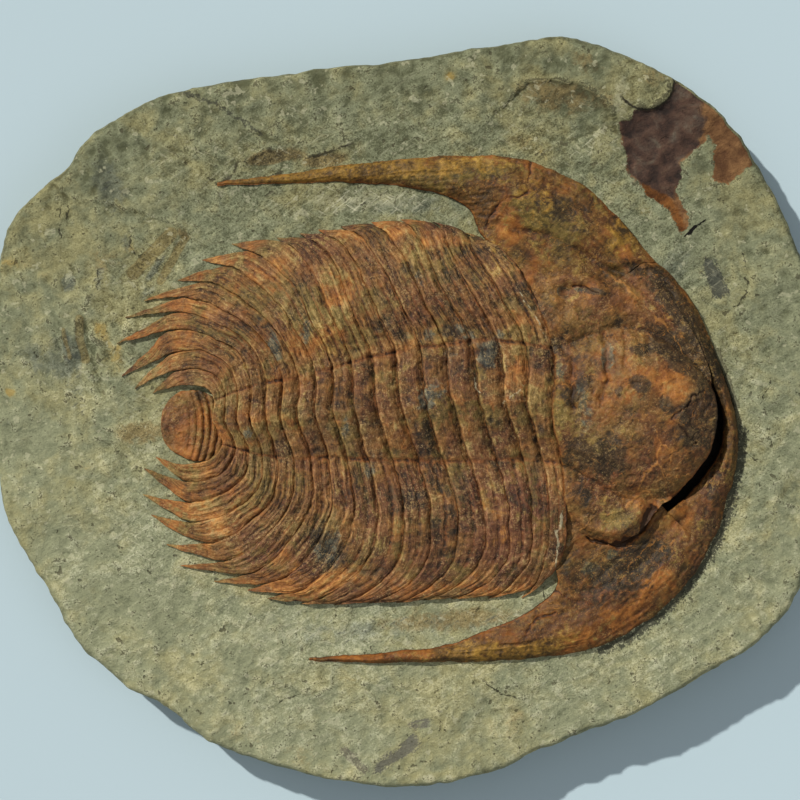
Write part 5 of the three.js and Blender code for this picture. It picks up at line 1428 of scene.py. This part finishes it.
    # Painted shadow: a dark arc under the lower lip of the raised round flake.
    centre = (FLAKE_MIDDLE[0] * MM, FLAKE_MIDDLE[1] * MM, 0)
    ring = f.vector("DISTANCE", flat, centre, "Value") * 1000 + (fine - 0.5) * 2
    lower = f.vector("DOT_PRODUCT", f.vector("SUBTRACT", flat, centre), (0.35, -0.94, 0), "Value")
    flake_shadow = ring.smooth(12.0, 12.6) * ring.smooth(13.9, 13.0) * lower.smooth(0.001, 0.004)
    colour = f.mix(flake_shadow * 0.95, colour, srgb(38, 34, 26))
    ragged = f.wandering(4.0, 3.5)
    flakes = f.noise(8, 3, 0.6, place=f.stretched(0.7, 1, turn=-25), warp=0.8)
    crack = (f.near(ragged, STONE_CRACKS) + (fine - 0.5) * 2.0).smooth(0.42, 0.1)
    colour = f.mix(crack * 0.8, colour, srgb(36, 33, 24))
    # Painted shadow: the crevices above the left genal spine, stepped in the mesh by ledges, are darkened as
    # the shade inside them.
    cleft = (f.near(rimmed, CREVICES) + (mid - 0.5) * 5 + (fine - 0.5) * 3).smooth(1.1, 0.0)
    colour = f.mix(cleft * 0.8, colour, srgb(40, 35, 24))
    seam = flakes.line(0.5, 0.01) * mid.smooth(0.46, 0.54) * (0.25 + fossil.smooth(40, 8) * 0.5)
    colour = f.mix(seam, colour, srgb(74, 68, 46))
    gash = f.near(ragged, [[(125.9, 78.8), (130, 83)]]) - f.along("X", 0.125, 0.128) * 0.45
    gash = gash.lower(f.near(ragged, [[(130, 83), (134.7, 86.4)]]))
    colour = f.mix(gash.smooth(0.5, 0.2), colour, srgb(15, 13, 9))
    streak = (f.near(ragged, STONE_VEINS) + (fine - 0.5) * 7).smooth(1.2, 0.3)
    colour = f.mix(streak * 0.7, colour, srgb(56, 56, 48))
    skin = (edge + (mid - 0.5) * 8 + (fine - 0.5) * 5).smooth(1.2, 0.0)
    colour = f.mix(skin * 0.3, colour, srgb(92, 88, 64))
    # Painted shadow: near black in the sunk crevice under the overhanging front of the glabella.
    colour = f.mix(shade, colour, srgb(18, 15, 11))
    rough = 0.8 + fine * 0.2
    ledge = f.node("ShaderNodeMath", {"operation": "SNAP"}, {0: flakes, 1: 0.07})
    near_shell = 0.75 + fossil.smooth(45, 5) * 0.95
    bump = mid * 0.7 + ledge * near_shell * 2.8 + flow * 0.4 + fine * 0.45 + grain * 0.3
    bump = bump - nick * 0.5
    return f.done(colour, rough, bump, 1.15)


block.data.materials.append(stone_finish())

# %% [markdown]
# ## Floor, light and camera
# The block lies on a plain pale floor. The photograph is lit by one strong light from the
# upper left, low enough to throw every ridge into relief, so the key light comes from there
# and a weak broad light fills the shadows.


# %% Floor, lights and camera
def aim(thing, place, target):
    """Put a light or a camera at a place and point its -Z axis at the target."""
    way = np.array(target, float) - np.array(place, float)
    away = math.atan2(way[1], way[0])
    tilt = math.atan2(math.hypot(way[0], way[1]), -way[2])
    thing.location = place
    thing.rotation_euler = (tilt, 0, away - math.pi / 2)


def lamp(name, kind, energy, place, size, colour):
    """A sun whose size is an angle in degrees, or a round soft light in metres."""
    light = bpy.data.lights.new(name, kind)
    light.energy, light.color = energy, colour
    if kind == "AREA":
        light.shape, light.size = "DISK", size
    else:
        light.angle = math.radians(size)
    item = bpy.data.objects.new(name, light)
    bpy.context.collection.objects.link(item)
    aim(item, place, (0, 0, 0))
    return item


floor_mesh = bpy.data.meshes.new("floor")
floor_mesh.from_pydata([(-4, -4, 0), (4, -4, 0), (4, 4, 0), (-4, 4, 0)], [], [(0, 1, 2, 3)])
floor = bpy.data.objects.new("floor", floor_mesh)
bpy.context.collection.objects.link(floor)
pale_paint = bpy.data.materials.new("pale floor")
pale_paint.use_nodes = True
paint = pale_paint.node_tree.nodes["Principled BSDF"]
paint.inputs["Base Color"].default_value = srgb(178, 196, 203)
paint.inputs["Roughness"].default_value = 0.9
floor_mesh.materials.append(pale_paint)

lamp("key", "SUN", 3.7, (-1.0, 0.95, 1.1), 1.6, (1.0, 0.975, 0.92))
lamp("fill", "AREA", 4, (0.9, -0.7, 1.6), 1.6, (0.93, 0.97, 1.0))
world = bpy.data.worlds.new("studio")
world.use_nodes = True
world.node_tree.nodes["Background"].inputs["Color"].default_value = (0.92, 0.96, 1.0, 1)
world.node_tree.nodes["Background"].inputs["Strength"].default_value = 0.36
bpy.context.scene.world = world
bpy.context.scene.view_settings.view_transform = "Standard"

VIEW_WIDTH = 0.360
CAMERA_HEIGHT = 1.25
CENTRE = (-0.0027, 0.0054)
camera = bpy.data.cameras.new("camera")
camera.sensor_width = 36
camera.lens = 36 * (CAMERA_HEIGHT - BED * MM) / VIEW_WIDTH
eye = bpy.data.objects.new("camera", camera)
bpy.context.collection.objects.link(eye)
eye.location = (CENTRE[0], CENTRE[1], CAMERA_HEIGHT)
bpy.context.scene.camera = eye
